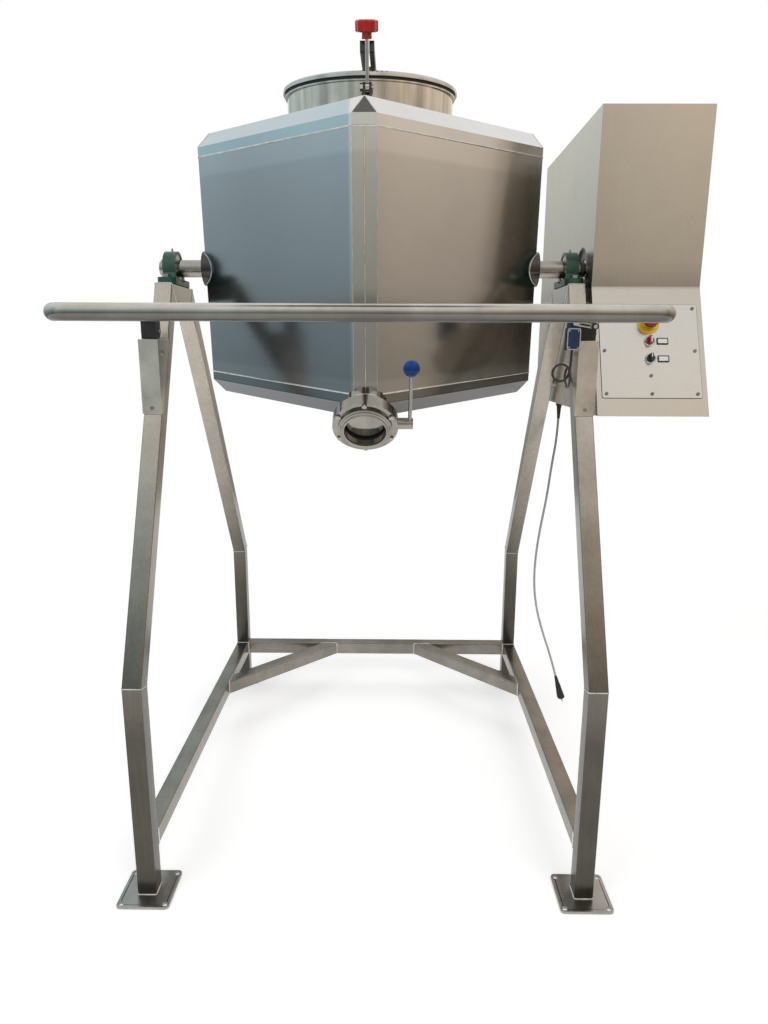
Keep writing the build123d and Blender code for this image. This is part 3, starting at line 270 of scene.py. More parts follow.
def bead_rings(path: Points, radius: float, closed: bool, ripple: float = 0.16, pitch: float = 3.4,
               sides: int = 7) -> Points:
    """Rings of a weld bead along a path: its radius swells once for each drop of the weld.

    The radius at a distance s is radius * (1 + ripple * |sin(pi s / pitch)|).

    Args:
        path: (n, 3) evenly spaced points in millimetres.
        radius: the bead's radius.
        closed: whether the path is a loop.
        ripple: how far the bead swells.
        pitch: the distance between drops.
        sides: points round the bead.

    Returns:
        (n, sides, 3) points in millimetres.
    """
    ahead = np.roll(path, -1, axis=0) if closed else np.vstack([path[1:], 2 * path[-1] - path[-2]])
    behind = np.roll(path, 1, axis=0) if closed else np.vstack([2 * path[0] - path[1], path[:-1]])
    way = ahead - behind
    way /= np.linalg.norm(way, axis=1, keepdims=True)
    # The axis of least spread, leant a little so that no straight path runs along it.
    spread = path.max(axis=0) - path.min(axis=0)
    axis = np.eye(3)[int(np.argmin(spread))] + np.array([0.013, 0.017, 0.011])
    side = np.cross(way, axis)
    side /= np.linalg.norm(side, axis=1, keepdims=True)
    lift = np.cross(side, way)
    run = np.concatenate([[0.0], np.cumsum(np.linalg.norm(np.diff(path, axis=0), axis=1))])
    swell = radius * (1 + ripple * np.abs(np.sin(np.pi * run / pitch)))
    turn = angles(sides)[None, :, None]
    out = side[:, None, :] * np.cos(turn) + lift[:, None, :] * np.sin(turn)
    return path[:, None, :] + out * swell[:, None, None]


class Welder:
    """Collects weld beads, so that all the beads of one group become one piece."""

    def __init__(self, name: str, frame: Callable[[Points], Points] = place) -> None:
        """Starts an empty group of beads.

        Args:
            name: the piece's name.
            frame: what turns the beads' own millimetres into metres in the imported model.
        """
        self.name = name
        self.frame = frame
        self.verts: list[Points] = []
        self.faces: list = []
        self.count = 0

    def add(self, path: Points, radius: float, closed: bool = True, step: float = 1.3,
            ripple: float = 0.16) -> None:
        """Adds one bead.

        Args:
            path: (n, 3) corners in millimetres.
            radius: the bead's radius in millimetres.
            closed: whether it is a loop.
            step: the distance between rings.
            ripple: how far the bead swells at each drop; 0 makes a plain line, as for a painted
                highlight along a folded edge.
        """
        line = resample(np.asarray(path, dtype=float), step, closed)
        rings = bead_rings(line, radius, closed, ripple)
        rows, cols = rings.shape[:2]
        self.faces += (grid_faces(rows, cols, True, True, self.count) if closed
                       else tube_faces(rows, cols, self.count))
        self.verts.append(self.frame(rings).reshape(-1, 3))
        self.count += rows * cols

    def finish(self) -> Piece:
        """Makes the one object that holds all the beads."""
        return face_outwards(make_object(self.name, np.vstack(self.verts), self.faces))


class Nodes:
    """A short hand for building one material's nodes."""

    def __init__(self, name: str) -> None:
        """Starts a material with a Principled shader.

        Args:
            name: the material's name.
        """
        self.material = bpy.data.materials.new(name)
        self.material.use_nodes = True
        self.tree = self.material.node_tree
        self.shader = self.tree.nodes["Principled BSDF"]
        self.coords = self.tree.nodes.new("ShaderNodeTexCoord").outputs["Object"]

    def add(self, kind: str, **inputs: object) -> bpy.types.Node:
        """Adds a node and sets or links its inputs by name.

        Args:
            kind: the node's type name without its ShaderNode prefix.
            inputs: socket names, spaces written as underscores, to values or sockets.

        Returns:
            The new node.
        """
        node = self.tree.nodes.new("ShaderNode" + kind)
        for key, value in inputs.items():
            self.put(node, key.replace("_", " "), value)
        return node

    def put(self, node: bpy.types.Node, socket: object, value: object) -> None:
        """Sets one input to a number or colour, or links it to a socket.

        Args:
            node: the node.
            socket: the input's name or number.
            value: a number, a colour or a socket.
        """
        target = node.inputs[socket]
        if isinstance(value, bpy.types.NodeSocket):
            self.tree.links.new(value, target)
        elif isinstance(value, tuple) and len(value) == 3 and len(target.default_value) == 4:
            target.default_value = (*value, 1.0)
        else:
            target.default_value = value

    def noise(self, scale: float, detail: float = 3.0, stretch: Optional[Colour] = None,
              roughness: float = 0.5) -> Socket:
        """A noise pattern in object space.

        Args:
            scale: its scale.
            detail: its detail.
            stretch: factors on x, y and z, small ones drawing the pattern out.
            roughness: how strong its fine detail is.

        Returns:
            The factor socket.
        """
        source = self.coords
        if stretch:
            source = self.add("Mapping", Vector=source, Scale=stretch).outputs[0]
        return self.add("TexNoise", Vector=source, Scale=scale, Detail=detail,
                        Roughness=roughness).outputs["Fac"]

    def ramp(self, factor: Socket, stops: Iterable[tuple[float, Colour]]) -> Socket:
        """A colour ramp over a factor.

        Args:
            factor: what it runs over, from 0 to 1.
            stops: pairs of a place and a colour, lowest first.

        Returns:
            The colour socket.
        """
        node = self.tree.nodes.new("ShaderNodeValToRGB")
        elements, stops = node.color_ramp.elements, list(stops)
        while len(elements) < len(stops):
            elements.new(0.5)
        for element, (at, colour) in zip(elements, stops):
            element.position = at
            element.color = (*colour, 1.0)
        self.tree.links.new(factor, node.inputs["Fac"])
        return node.outputs["Color"]

    def mix(self, factor: object, a: object, b: object, mode: str = "MIX") -> Socket:
        """Mixes two colours.

        Args:
            factor: how much of the second, a number or a socket.
            a: the first colour or its socket.
            b: the second colour or its socket.
            mode: the way they are blended.

        Returns:
            The colour socket.
        """
        node = self.tree.nodes.new("ShaderNodeMix")
        node.data_type = "RGBA"
        node.blend_type = mode
        # A Mix node's colours are its inputs 6 and 7 and its output 2.
        for index, value in ((0, factor), (6, a), (7, b)):
            self.put(node, index, value)
        return node.outputs[2]

    def map(self, value: object, low: float, high: float, to_low: float, to_high: float) -> Socket:
        """Maps a range to another, clamped, with a smooth step.

        Args:
            value: a number or a socket.
            low: the range's start.
            high: the range's end.
            to_low: the result at its start.
            to_high: the result at its end.

        Returns:
            The result's socket.
        """
        node = self.tree.nodes.new("ShaderNodeMapRange")
        node.interpolation_type = "SMOOTHSTEP"
        for index, number in enumerate((value, low, high, to_low, to_high)):
            self.put(node, index, number)
        return node.outputs[0]

    def axis(self, name: str) -> Socket:
        """One of X, Y and Z of the object coordinates."""
        return self.add("SeparateXYZ", Vector=self.coords).outputs[name]

    def drum_height(self) -> Socket:
        """The height over the shaft in metres, square to the drum's tilted cover.

        It is the dot product of the place with the drum's own upward direction, less the shaft's.

        Returns:
            The height's socket.
        """
        c, s = math.cos(DRUM_TILT), math.sin(DRUM_TILT)
        dot = self.add("VectorMath")
        dot.operation = "DOT_PRODUCT"
        self.put(dot, 0, self.coords)
        self.put(dot, 1, (0.0, -s, c))
        start = (ORIGIN[1] * -s - SHAFT_HEIGHT * c) / 1000
        return self.math("ADD", dot.outputs["Value"], start)

    def math(self, operation: str, a: object, b: object = 0.0) -> Socket:
        """Works out a sum of two numbers or sockets.

        Args:
            operation: the Math node's operation.
            a: the first.
            b: the second, which some operations leave out.

        Returns:
            The result's socket.
        """
        node = self.tree.nodes.new("ShaderNodeMath")
        node.operation = operation
        self.put(node, 0, a)
        self.put(node, 1, b)
        return node.outputs[0]

    def vary_roughness(self, pattern: Socket, rough: float, part: float) -> None:
        """Lets the shader's roughness vary with a pattern.

        Args:
            pattern: the pattern's socket.
            rough: the roughness in its middle.
            part: how far it goes to either side, as a part of it.
        """
        level = self.map(pattern, *VARIES_SPAN, rough * (1 - part), rough * (1 + part))
        self.put(self.shader, "Roughness", level)

    def bump(self, height: Socket, strength: float) -> None:
        """Links a height to the shader's normal.

        Args:
            height: the height's socket.
            strength: how strong it shows.
        """
        node = self.add("Bump", Height=height, Strength=strength, Distance=BUMP_DEPTH)
        self.put(self.shader, "Normal", node.outputs[0])

    def surface(self, shader: bpy.types.Node) -> None:
        """Links a shader to the material's output."""
        self.tree.links.new(shader.outputs[0], self.tree.nodes["Material Output"].inputs["Surface"])


class Grain(Enum):
    """Which way a sheet or bar was brushed or rolled, as stretch factors on x, y and z."""

    ACROSS = (0.03, 1.0, 1.0)
    DEEP = (1.0, 0.03, 1.0)
    UPRIGHT = (1.0, 1.0, 0.03)
    NONE = (1.0, 1.0, 1.0)


# In metres: where the drum's painted cool reflection on the left ends, the height that a ramp of
# painted light and shade covers, how far one reaches over and under the shaft, and the width of
# the border of the darkening near the machine's middle.
LEFT_REFLECTION_BORDER = (-0.172, -0.162)
LIGHT_AND_SHADE_SPAN = 2.4
DRUM_REACH = 0.5
DARKENED_BORDER = 0.004
# Factors on a colour: the painted left reflection's darker clouds, and the darkened middle.
LEFT_REFLECTION_SHADE = 0.86
DARKENED_TONE = 0.22
# Between which values of their noise the clouds, grain and stains go from one colour to the other.
CLOUD_SPAN = (0.32, 0.68)
GRAIN_SPAN = (0.25, 0.75)
STAIN_SPAN = (0.30, 0.52)
STAIN_COLOUR: Colour = (0.90, 0.89, 0.87)
# The parts of grain and clouds in steel's roughness, and of stains in its bump.
ROUGH_GRAIN, ROUGH_CLOUDS, BUMP_STAINS = 0.35, 0.65, 0.4
# How far roughness varies on steel and on plastic, and between which values of the noise.
STEEL_VARIES, PLASTIC_VARIES = 0.18, 0.15
VARIES_SPAN = (0.3, 0.7)
PLAIN: Colour = (1.0, 1.0, 1.0)


def grey(level: float) -> Colour:
    """A grey of one level."""
    return (level, level, level)


@dataclass(frozen=True)
class Steel:
    """A bare steel finish with grain, cloudiness and stains.

    Fields: name; light and dark, the two colours it varies between; rough, its roughness; grain,
    the way it was rolled; grain_depth, how strong that shows; grain_scale and cloud_scale, the
    sizes of its grain and clouds; levels, pairs of a height in metres and a factor on its colour,
    which paint light and shade by height; drum_light_and_shade, the same over the shaft and square
    to the drum; left, a colour for its left side, a painted cool reflection; stains, how much they
    show; relief, the strength of its bump; darkened_within, the distance from the machine's middle
    in metres within which it is darker.
    """

    name: str
    light: Colour
    dark: Colour
    rough: float = 0.3
    grain: Grain = Grain.NONE
    grain_depth: float = 0.12
    grain_scale: float = 260.0
    cloud_scale: float = 5.0
    levels: tuple[tuple[float, float], ...] = ()
    drum_light_and_shade: tuple[tuple[float, float], ...] = ()
    left: Optional[Colour] = None
    stains: float = 0.6
    relief: float = 0.04
    darkened_within: float = 0.0

    def build(self) -> bpy.types.Material:
        """Builds the material.

        Its colour runs from dark to light over its clouds and is multiplied by what its levels of
        painted light and shade, grain and stains give. Its roughness varies with parts of its grain and
        clouds.

        Returns:
            The material.
        """
        n = Nodes(self.name)
        clouds = n.noise(self.cloud_scale, 4.0, roughness=0.6)
        stains = n.noise(self.cloud_scale * 7, 5.0, roughness=0.65)
        grain = n.noise(self.grain_scale, 2.0, self.grain.value)
        colour = n.ramp(clouds, zip(CLOUD_SPAN, (self.dark, self.light)))
        # A painted cool reflection: left of the border the colour gives way to the left tint and its
        # darker clouds.
        if self.left:
            side = n.map(n.axis("X"), *LEFT_REFLECTION_BORDER, 1.0, 0.0)
            shade = tuple(v * LEFT_REFLECTION_SHADE for v in self.left)
            colour = n.mix(side, colour, n.mix(clouds, self.left, shade))
        # Painted light and shade: the colour is multiplied by a factor over the height, and over the
        # height square to the drum.
        if self.levels:
            colour = self.light_and_shade_by_height(n, colour, n.axis("Z"), self.levels, 0.0, LIGHT_AND_SHADE_SPAN)
        if self.drum_light_and_shade:
            colour = self.light_and_shade_by_height(n, colour, n.drum_height(), self.drum_light_and_shade, -DRUM_REACH,
                                 2 * DRUM_REACH)
        # Darker within a distance of the machine's middle.
        if self.darkened_within:
            reach = n.math("ABSOLUTE", n.math("ADD", n.axis("X"), ORIGIN[0] / 1000))
            inside = n.map(reach, self.darkened_within, self.darkened_within + DARKENED_BORDER,
                           DARKENED_TONE, 1.0)
            colour = n.mix(1.0, colour, inside, "MULTIPLY")
        streak = n.ramp(grain, zip(GRAIN_SPAN, (grey(1 - self.grain_depth), PLAIN)))
        colour = n.mix(1.0, colour, streak, "MULTIPLY")
        stain = n.ramp(stains, zip(STAIN_SPAN, (STAIN_COLOUR, PLAIN)))
        colour = n.mix(self.stains, colour, stain, "MULTIPLY")
        n.put(n.shader, "Base Color", colour)
        n.put(n.shader, "Metallic", 1.0)
        texture = n.math("ADD", n.math("MULTIPLY", grain, ROUGH_GRAIN),
                         n.math("MULTIPLY", clouds, ROUGH_CLOUDS))
        n.vary_roughness(texture, self.rough, STEEL_VARIES)
        n.bump(n.math("ADD", grain, n.math("MULTIPLY", stains, BUMP_STAINS)), self.relief)
        return n.material

    @staticmethod
    def light_and_shade_by_height(n: Nodes, colour: Socket, height: Socket, levels: Sequence[tuple[float, float]],
               low: float, span: float) -> Socket:
        """Multiplies a colour by a factor that depends on a height: painted light and shade.

        Args:
            n: the material's nodes.
            colour: the colour so far.
            height: the height in metres.
            levels: pairs of a height and a factor, lowest first.
            low: the height at which the ramp starts.
            span: the height that it covers.

        Returns:
            The new colour.
        """
        along = n.math("DIVIDE", n.math("SUBTRACT", height, low), span)
        stops = [((z - low) / span, grey(factor)) for z, factor in levels]
        return n.mix(1.0, colour, n.ramp(along, stops), "MULTIPLY")


@dataclass(frozen=True)
class Plastic:
    """A moulded, painted or rubber finish with a fine texture and faint wear.

    Fields: name; colour; rough, its roughness; texture and depth, the scale and strength of its
    bump; coat, its clear coat; wear, how far its colour varies; specular, its specular level.
    """

    name: str
    colour: Colour
    rough: float = 0.4
    texture: float = 900.0
    depth: float = 0.08
    coat: float = 0.0
    wear: float = 0.12
    specular: float = 0.5

    def build(self) -> bpy.types.Material:
        """Builds the material.

        Returns:
            The material, whose colour and roughness vary over one cloudy noise.
        """
        n = Nodes(self.name)
        cloud = n.noise(45.0, 4.0, roughness=0.6)
        fine = n.noise(self.texture, 2.0)
        low = tuple(v * (1 - self.wear) for v in self.colour)
        high = tuple(min(1.0, v * (1 + self.wear) + 0.004) for v in self.colour)
        n.put(n.shader, "Base Color", n.ramp(cloud, zip(VARIES_SPAN, (low, high))))
        n.vary_roughness(cloud, self.rough, PLASTIC_VARIES)
        n.put(n.shader, "Coat Weight", self.coat)
        n.put(n.shader, "Specular IOR Level", self.specular)
        n.bump(fine, self.depth)
        return n.material


@dataclass
class Finishes:
    """Every finish of the machine, built once."""

    # Drum panel: its left colour is a painted cool reflection, and its levels over the shaft paint a
    # light band under the upper seam and shade above the lower one.
    panel: Steel = Steel("drum_panel", (0.66, 0.63, 0.59), (0.59, 0.56, 0.525), 0.17, Grain.NONE,
                         0.02, 300.0, 2.4, left=(0.43, 0.455, 0.48), stains=0.15,
                         drum_light_and_shade=((-0.295, 0.80), (-0.268, 0.78), (-0.258, 0.68), (0.0, 0.80),
                                      (0.240, 0.86), (0.250, 0.98), (0.295, 1.0)))
    # Top cap: its left colour is a painted cool reflection.
    cap: Steel = Steel("drum_cap", (0.72, 0.71, 0.69), (0.64, 0.63, 0.61), 0.17, Grain.NONE, 0.03,
                       300.0, 3.0, left=(0.46, 0.56, 0.59), stains=0.2)
    neck: Steel = Steel("neck_sheet", (0.78, 0.73, 0.65), (0.56, 0.52, 0.45), 0.13, Grain.UPRIGHT,
                        0.3, 50.0, 6.0, stains=0.3)
    lid: Steel = Steel("lid_sheet", (0.58, 0.56, 0.53), (0.48, 0.47, 0.45), 0.2, Grain.NONE, 0.05)
    # Stand tube: its levels paint shade on the legs, much darker towards the floor.
    tube: Steel = Steel("stand_tube", (0.56, 0.51, 0.435), (0.45, 0.41, 0.355), 0.26, Grain.UPRIGHT,
                        0.14, 160.0, 7.0,
                        levels=((0.05, 0.19), (0.45, 0.21), (0.62, 0.36), (0.95, 0.70), (1.35, 1.0)))
    tube_deep: Steel = Steel("stand_rail", (0.34, 0.315, 0.28), (0.22, 0.20, 0.175), 0.28, Grain.DEEP,
                             0.14, 160.0, 7.0)
    tube_across: Steel = Steel("stand_crossbar", (0.34, 0.315, 0.28), (0.22, 0.20, 0.175), 0.28,
                               Grain.ACROSS, 0.14, 160.0, 7.0)
    beam: Steel = Steel("bearing_beam_tube", (0.52, 0.48, 0.43), (0.42, 0.39, 0.35), 0.26, Grain.DEEP,
                        0.12, 160.0, 7.0)
    # Guard bar: its light colours and levels paint a highlight along the bar's top and shade under it.
    guard: Steel = Steel("guard_tube", (0.66, 0.63, 0.57), (0.50, 0.475, 0.43), 0.2, Grain.ACROSS,
                         0.12, 200.0, 9.0,
                         levels=((1.489, 0.17), (1.499, 0.32), (1.506, 0.66), (1.513, 1.0)))
    # Cabinet: its levels paint a band of shade at the console's upper bend, about 1.6 to 1.68 m up.
    cabinet: Steel = Steel("cabinet_sheet", (0.57, 0.53, 0.465), (0.53, 0.49, 0.43), 0.26,
                           Grain.UPRIGHT, 0.02, 260.0, 2.0, relief=0.004, stains=0.2,
                           levels=((1.27, 1.02), (1.603, 0.98), (1.611, 0.74), (1.68, 0.94),
                                   (2.05, 1.02)))
    # Console: its levels paint it slightly darker towards its upper bend, a painted shade.
    console: Steel = Steel("console_sheet", (0.65, 0.62, 0.57), (0.61, 0.575, 0.525), 0.26,
                           Grain.ACROSS, 0.02, 260.0, 3.0, relief=0.004, stains=0.2,
                           levels=((1.27, 0.98), (1.60, 0.96)))
    # Lower cap: a darker copy of the cap's steel, painted shade on the drum's underside, darker still
    # below 0.32 m under the shaft; its left colour is a painted cool reflection.
    cap_shaded: Steel = Steel("drum_lower_cap_shaded", (0.30, 0.28, 0.255), (0.24, 0.225, 0.205), 0.17,
                           Grain.NONE, 0.03, 300.0, 3.0, left=(0.24, 0.27, 0.285), stains=0.2,
                           drum_light_and_shade=((-0.360, 0.30), (-0.3205, 0.36), (-0.3195, 1.0)))
    valve: Steel = Steel("valve_steel", (0.36, 0.34, 0.305), (0.25, 0.235, 0.21), 0.12, Grain.NONE,
                         0.05, 400.0, 14.0, relief=0.02)
    lever: Steel = Steel("plated_lever", (0.80, 0.79, 0.77), (0.66, 0.65, 0.63), 0.3, Grain.NONE,
                         0.05, 400.0, 20.0)
    plate: Steel = Steel("foot_plate", (0.44, 0.43, 0.41), (0.33, 0.32, 0.30), 0.3, Grain.DEEP, 0.1,
                         160.0, 12.0)
    screw: Steel = Steel("panel_screw", (0.24, 0.23, 0.21), (0.14, 0.13, 0.12), 0.25)
    channel: Steel = Steel("channel_sheet", (0.76, 0.70, 0.62), (0.62, 0.56, 0.485), 0.32,
                           Grain.NONE, 0.05, 260.0, 14.0)
    weld: Steel = Steel("weld_bead", (0.86, 0.84, 0.80), (0.58, 0.55, 0.51), 0.22, Grain.NONE, 0.1,
                        400.0, 40.0)
    shaft: Steel = Steel("turned_steel", (0.42, 0.395, 0.35), (0.31, 0.29, 0.26), 0.17, Grain.ACROSS,
                         0.1, 300.0, 20.0, darkened_within=0.492)
    bright: Steel = Steel("bright_steel", (0.60, 0.585, 0.55), (0.50, 0.485, 0.455), 0.1, Grain.NONE,
                          0.03, 400.0, 12.0)
    bolt: Steel = Steel("bolt_steel", (0.50, 0.48, 0.44), (0.34, 0.32, 0.29), 0.25, Grain.NONE, 0.1,
                        500.0, 60.0)
    # Dark steel, painted shade: the yoke and brackets darkened where their undersides are in shadow.
    dark: Steel = Steel("dark_steel", (0.12, 0.115, 0.11), (0.07, 0.067, 0.065), 0.3,
                        Grain.DEEP, 0.1, 200.0, 12.0)
    green: Plastic = Plastic("green_casting", (0.012, 0.062, 0.040), 0.42, 300.0, 0.35, 0.15, 0.25)
    rubber: Plastic = Plastic("black_rubber", (0.014, 0.014, 0.014), 0.62, 900.0, 0.1)
    black: Plastic = Plastic("black_moulding", (0.012, 0.012, 0.013), 0.42, 900.0, 0.15)
    red: Plastic = Plastic("red_moulding", (0.50, 0.008, 0.006), 0.22, 900.0, 0.03, 0.0, 0.08)
    dark_red: Plastic = Plastic("dark_red_moulding", (0.27, 0.010, 0.009), 0.25, 900.0, 0.03, 0.0, 0.08)
    stem_red: Plastic = Plastic("orange_red_moulding", (0.55, 0.045, 0.02), 0.34, 900.0, 0.04)
    yellow: Plastic = Plastic("yellow_moulding", (0.80, 0.52, 0.02), 0.38, 900.0, 0.05, 0.1, 0.06)
    blue: Plastic = Plastic("blue_moulding", (0.003, 0.042, 0.24), 0.12, 900.0, 0.0, 0.0, 0.1, 0.22)
    switch: Plastic = Plastic("blue_casting", (0.005, 0.032, 0.085), 0.35, 500.0, 0.15, 0.0, 0.15)
    white: Plastic = Plastic("white_plate", (0.78, 0.78, 0.76), 0.45, 900.0, 0.02, 0.0, 0.03)
    gearbox: Plastic = Plastic("grey_casting", (0.22, 0.25, 0.27), 0.4, 260.0, 0.4, 0.1, 0.15)
    motor: Plastic = Plastic("motor_casting", (0.12, 0.15, 0.17), 0.42, 260.0, 0.3, 0.1, 0.15)
    grey_cord: Plastic = Plastic("grey_sheath", (0.50, 0.49, 0.46), 0.46, 700.0, 0.06)
    black_cord: Plastic = Plastic("black_sheath", (0.016, 0.016, 0.017), 0.44, 700.0, 0.06)
    made: dict = field(default_factory=dict)

    def get(self, name: str) -> bpy.types.Material:
        """The material of a finish, built at its first use.

        Args:
            name: the finish's name.

        Returns:
            The material.
        """
        if name not in self.made:
            self.made[name] = getattr(self, name).build()
        return self.made[name]

    def coat(self, piece: Piece, name: str) -> None:
        """Gives the whole piece one finish.

        Args:
            piece: a mesh or a curve.
            name: the finish's name.
        """
        material = self.get(name)
        if piece.type == "MESH" and len(piece.material_slots):
            for slot in piece.material_slots:
                slot.material = material
        else:
            piece.data.materials.append(material)

    def dress(self, piece: Piece, name: str, body: str) -> Piece:
        """Gives a new piece its finish and the body that it rides on, and reports it.

        Args:
            piece: the new object.
            name: the finish's name.
            body: the body's name.

        Returns:
            The same object.
        """
        self.coat(piece, name)
        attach(piece, body)
        log.info("%s: %s, on %s", piece.name, name, body)
        return piece


@dataclass
class PhotoCamera:
    """The camera of the reference view.

    Fields: its eye in machine millimetres, three turns in degrees, its lens and sensor in
    millimetres, and how far it sees in metres.
    """

    eye: Spot = (61.9, -2229.2, 1436.4)
    pitch: float = 12.676
    yaw: float = -0.506
    roll: float = 0.225
    lens: float = 25.26
    sensor: float = 36.0
    reach: float = 60.0

    def build(self) -> None:
        """Makes the camera and sets it as the scene's own."""
        pitch, yaw, roll = (math.radians(v) for v in (self.pitch, self.yaw, self.roll))
        forward = Vector((math.sin(yaw) * math.cos(pitch), math.cos(yaw) * math.cos(pitch),
                          -math.sin(pitch)))
        right = Vector((math.cos(yaw), -math.sin(yaw), 0.0))
        up = right.cross(forward)
        across = math.cos(roll) * right + math.sin(roll) * up
        above = -math.sin(roll) * right + math.cos(roll) * up
        data = bpy.data.cameras.new("reference_view")
        data.lens = self.lens
        data.sensor_width = self.sensor
        data.clip_end = self.reach
        camera = bpy.data.objects.new("reference_view", data)
        turn = Matrix((across, above, -forward)).transposed().to_4x4()
        camera.matrix_world = Matrix.Translation(Vector(place(self.eye))) @ turn
        bpy.context.scene.collection.objects.link(camera)
        bpy.context.scene.camera = camera


def cord_curve(name: str, route: Sequence, diameter: float) -> bpy.types.Object:
    """A round cord on a smooth spline that has the route's points as its control points.

    Args:
        name: the piece's name.
        route: points in machine millimetres.
        diameter: in millimetres.

    Returns:
        The curve object.
    """
    data = bpy.data.curves.new(name, "CURVE")
    data.dimensions = "3D"
    data.bevel_depth = diameter / 2000.0
    data.bevel_resolution = 6
    data.resolution_u = 10
    data.use_fill_caps = True
    spline = data.splines.new("NURBS")
    points = place(route)
    spline.points.add(len(points) - 1)
    spline.points.foreach_set("co", np.hstack([points, np.ones((len(points), 1))]).ravel())
    spline.order_u = 3
    spline.use_endpoint_u = True
    piece = bpy.data.objects.new(name, data)
    bpy.context.scene.collection.objects.link(piece)
    return piece


@dataclass(frozen=True)
class Grooves:
    """Ring grooves along a sleeve, cut wherever sin(2 pi s / pitch) is above a level."""

    start: float
    end: float
    pitch: float
    level: float
    depth: float

    def at(self, s: Points) -> Points:
        """The grooves' depth at distances s along the sleeve, zero between them."""
        cut = (s > self.start) & (s < self.end)
        return np.where(cut & (np.sin(2 * np.pi * s / self.pitch) > self.level), self.depth, 0.0)


@dataclass
class Cords:
    """The supply cord with its strain relief and plug, and the limit switch's cable.

    Sizes are in millimetres. relief_taper holds pairs of a distance and a radius, plug_profile a
    distance with half the plug's width and thickness, plug_power a distance with the power of the
    plug's outline, and pin_profile a distance with a pin's radius.
    """

    supply_diameter: float = 8.0
    cable_diameter: float = 6.0
    supply_route: tuple = (
        (648, 300, 1245), (648, 300, 1150), (633, 299, 1040), (622, 298, 925), (604, 298, 810),
        (593, 299, 705), (592, 300, 600), (607, 301, 500), (636, 301, 405), (668, 300, 318),
        (692, 300, 236),
    )
    cable_exit: tuple = (540.5, -273.82, 1439.0)
    cable_steps: tuple = (
        (0, 0, 0), (0, 0, -35), (-6.5, -4, -68), (-19.5, -6, -81), (-37.5, -8, -81),
        (-50.5, -10, -68), (-50.5, -12, -50), (-37.5, -14, -37), (-19.5, -15, -37),
        (-6.5, -15, -50), (-3.5, -10, -75), (-0.5, 8, -94), (2.5, 34, -101), (6.5, 69, -96),
        (10.5, 104, -81), (16.5, 134, -63), (29.5, 158, -45), (51.5, 170, -37), (79.5, 170, -37),
    )
    relief_start: float = -2.0
    relief_taper: tuple = ((0.0, 7.4), (4.0, 7.4), (38.0, 5.0))
    relief_grooves: Grooves = Grooves(5.0, 34.0, 4.4, 0.5, 0.8)
    plug_profile: tuple = ((0, 4.9, 4.9), (30, 7.4, 7.4), (38, 11.5, 9.0), (58, 14.5, 10.5),
                           (84, 18.9, 13.4), (90, 19.2, 13.7), (92, 16.5, 11.5))
    plug_power: tuple = ((0, 2.0), (30, 2.0), (60, 2.6))
    plug_ribs: Grooves = Grooves(-1.0, 29.0, 4.2, 0.2, 0.9)
    plug_grip: Grooves = Grooves(50.0, 80.0, 5.0, 0.3, 0.7)
    pin_profile: tuple = ((88.0, 2.4), (106.0, 2.4), (108.6, 2.1), (109.9, 1.4), (110.6, 0.3))
    pin_offset: float = 9.5

    def build(self, finishes: Finishes) -> None:
        """Args:
            finishes: the machine's finishes.
        """
        supply = cord_curve("supply_cord", self.supply_route, self.supply_diameter)
        finishes.dress(supply, "grey_cord", "stand")
        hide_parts("power_cord")
        plug = finishes.dress(self.plug(), "rubber", "stand")
        pins = finishes.dress(self.pins(), "bright", "stand")
        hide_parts("power_plug")
        finishes.dress(self.relief(), "rubber", "stand")
        tuple(place(self.supply_route[0]))
        route = np.array(self.cable_exit) + np.array(self.cable_steps)
        cable = cord_curve("limit_switch_cable", route, self.cable_diameter)
        finishes.dress(cable, "black_cord", "stand")
        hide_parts("switch_cable")
        tuple(place(self.cable_exit))

    def relief(self) -> Piece:
        """The tapered sleeve under the gland: grooved rings straight down, down to the cord.

        The radius at a distance s falls evenly from the gland's to the cord's, less the grooves.

        Returns:
            The sleeve.
        """
        reach, radii = np.array(self.relief_taper).T
        s = np.linspace(self.relief_start, reach[-1], 73)
        rings = turned(np.interp(s, reach, radii) - self.relief_grooves.at(s), -s, 40)
        return lofted("supply_strain_relief", place(rings + np.array(self.supply_route[0])))

    def plug_axes(self) -> tuple[Points, Points, Points, Points]:
        """The plug's own axes: it hangs on in line with the cord's last stretch.

        Returns:
            Its start in millimetres, and its directions across, through and along.
        """
        start = np.array(self.supply_route[-1], dtype=float)
        along = start - np.array(self.supply_route[-2], dtype=float)
        along /= np.linalg.norm(along)
        across = np.array([0.0, 1.0, 0.0])
        across -= along * across.dot(along)
        across /= np.linalg.norm(across)
        return start, across, np.cross(along, across), along

    def plug(self) -> Piece:
        """The plug's body: rounded ovals along its axis, ribbed over the strain relief.

        A ring at a distance s has half widths a and b from the profile, less the grooves, and the
        outline of a superellipse, |x/a|^p + |y/b|^p = 1.

        Returns:
            The plug's body.
        """
        start, across, through, along = self.plug_axes()
        reach, widths, depths = np.array(self.plug_profile).T
        s = np.concatenate([np.linspace(0, 30, 46), np.linspace(31, 88, 40), [90.5, 91.9, 92.0]])
        wide = np.interp(s, reach, widths) - self.plug_ribs.at(s)
        thin = np.interp(s, reach, depths) - self.plug_ribs.at(s) - self.plug_grip.at(s)
        power = 2 / np.interp(s, *np.array(self.plug_power).T)[:, None]
        cos, sin = np.cos(angles(40))[None, :], np.sin(angles(40))[None, :]
        x = np.sign(cos) * np.abs(cos) ** power * wide[:, None]
        y = np.sign(sin) * np.abs(sin) ** power * thin[:, None]
        rings = start + s[:, None, None] * along + x[..., None] * across + y[..., None] * through
        return lofted("mains_plug", place(rings))

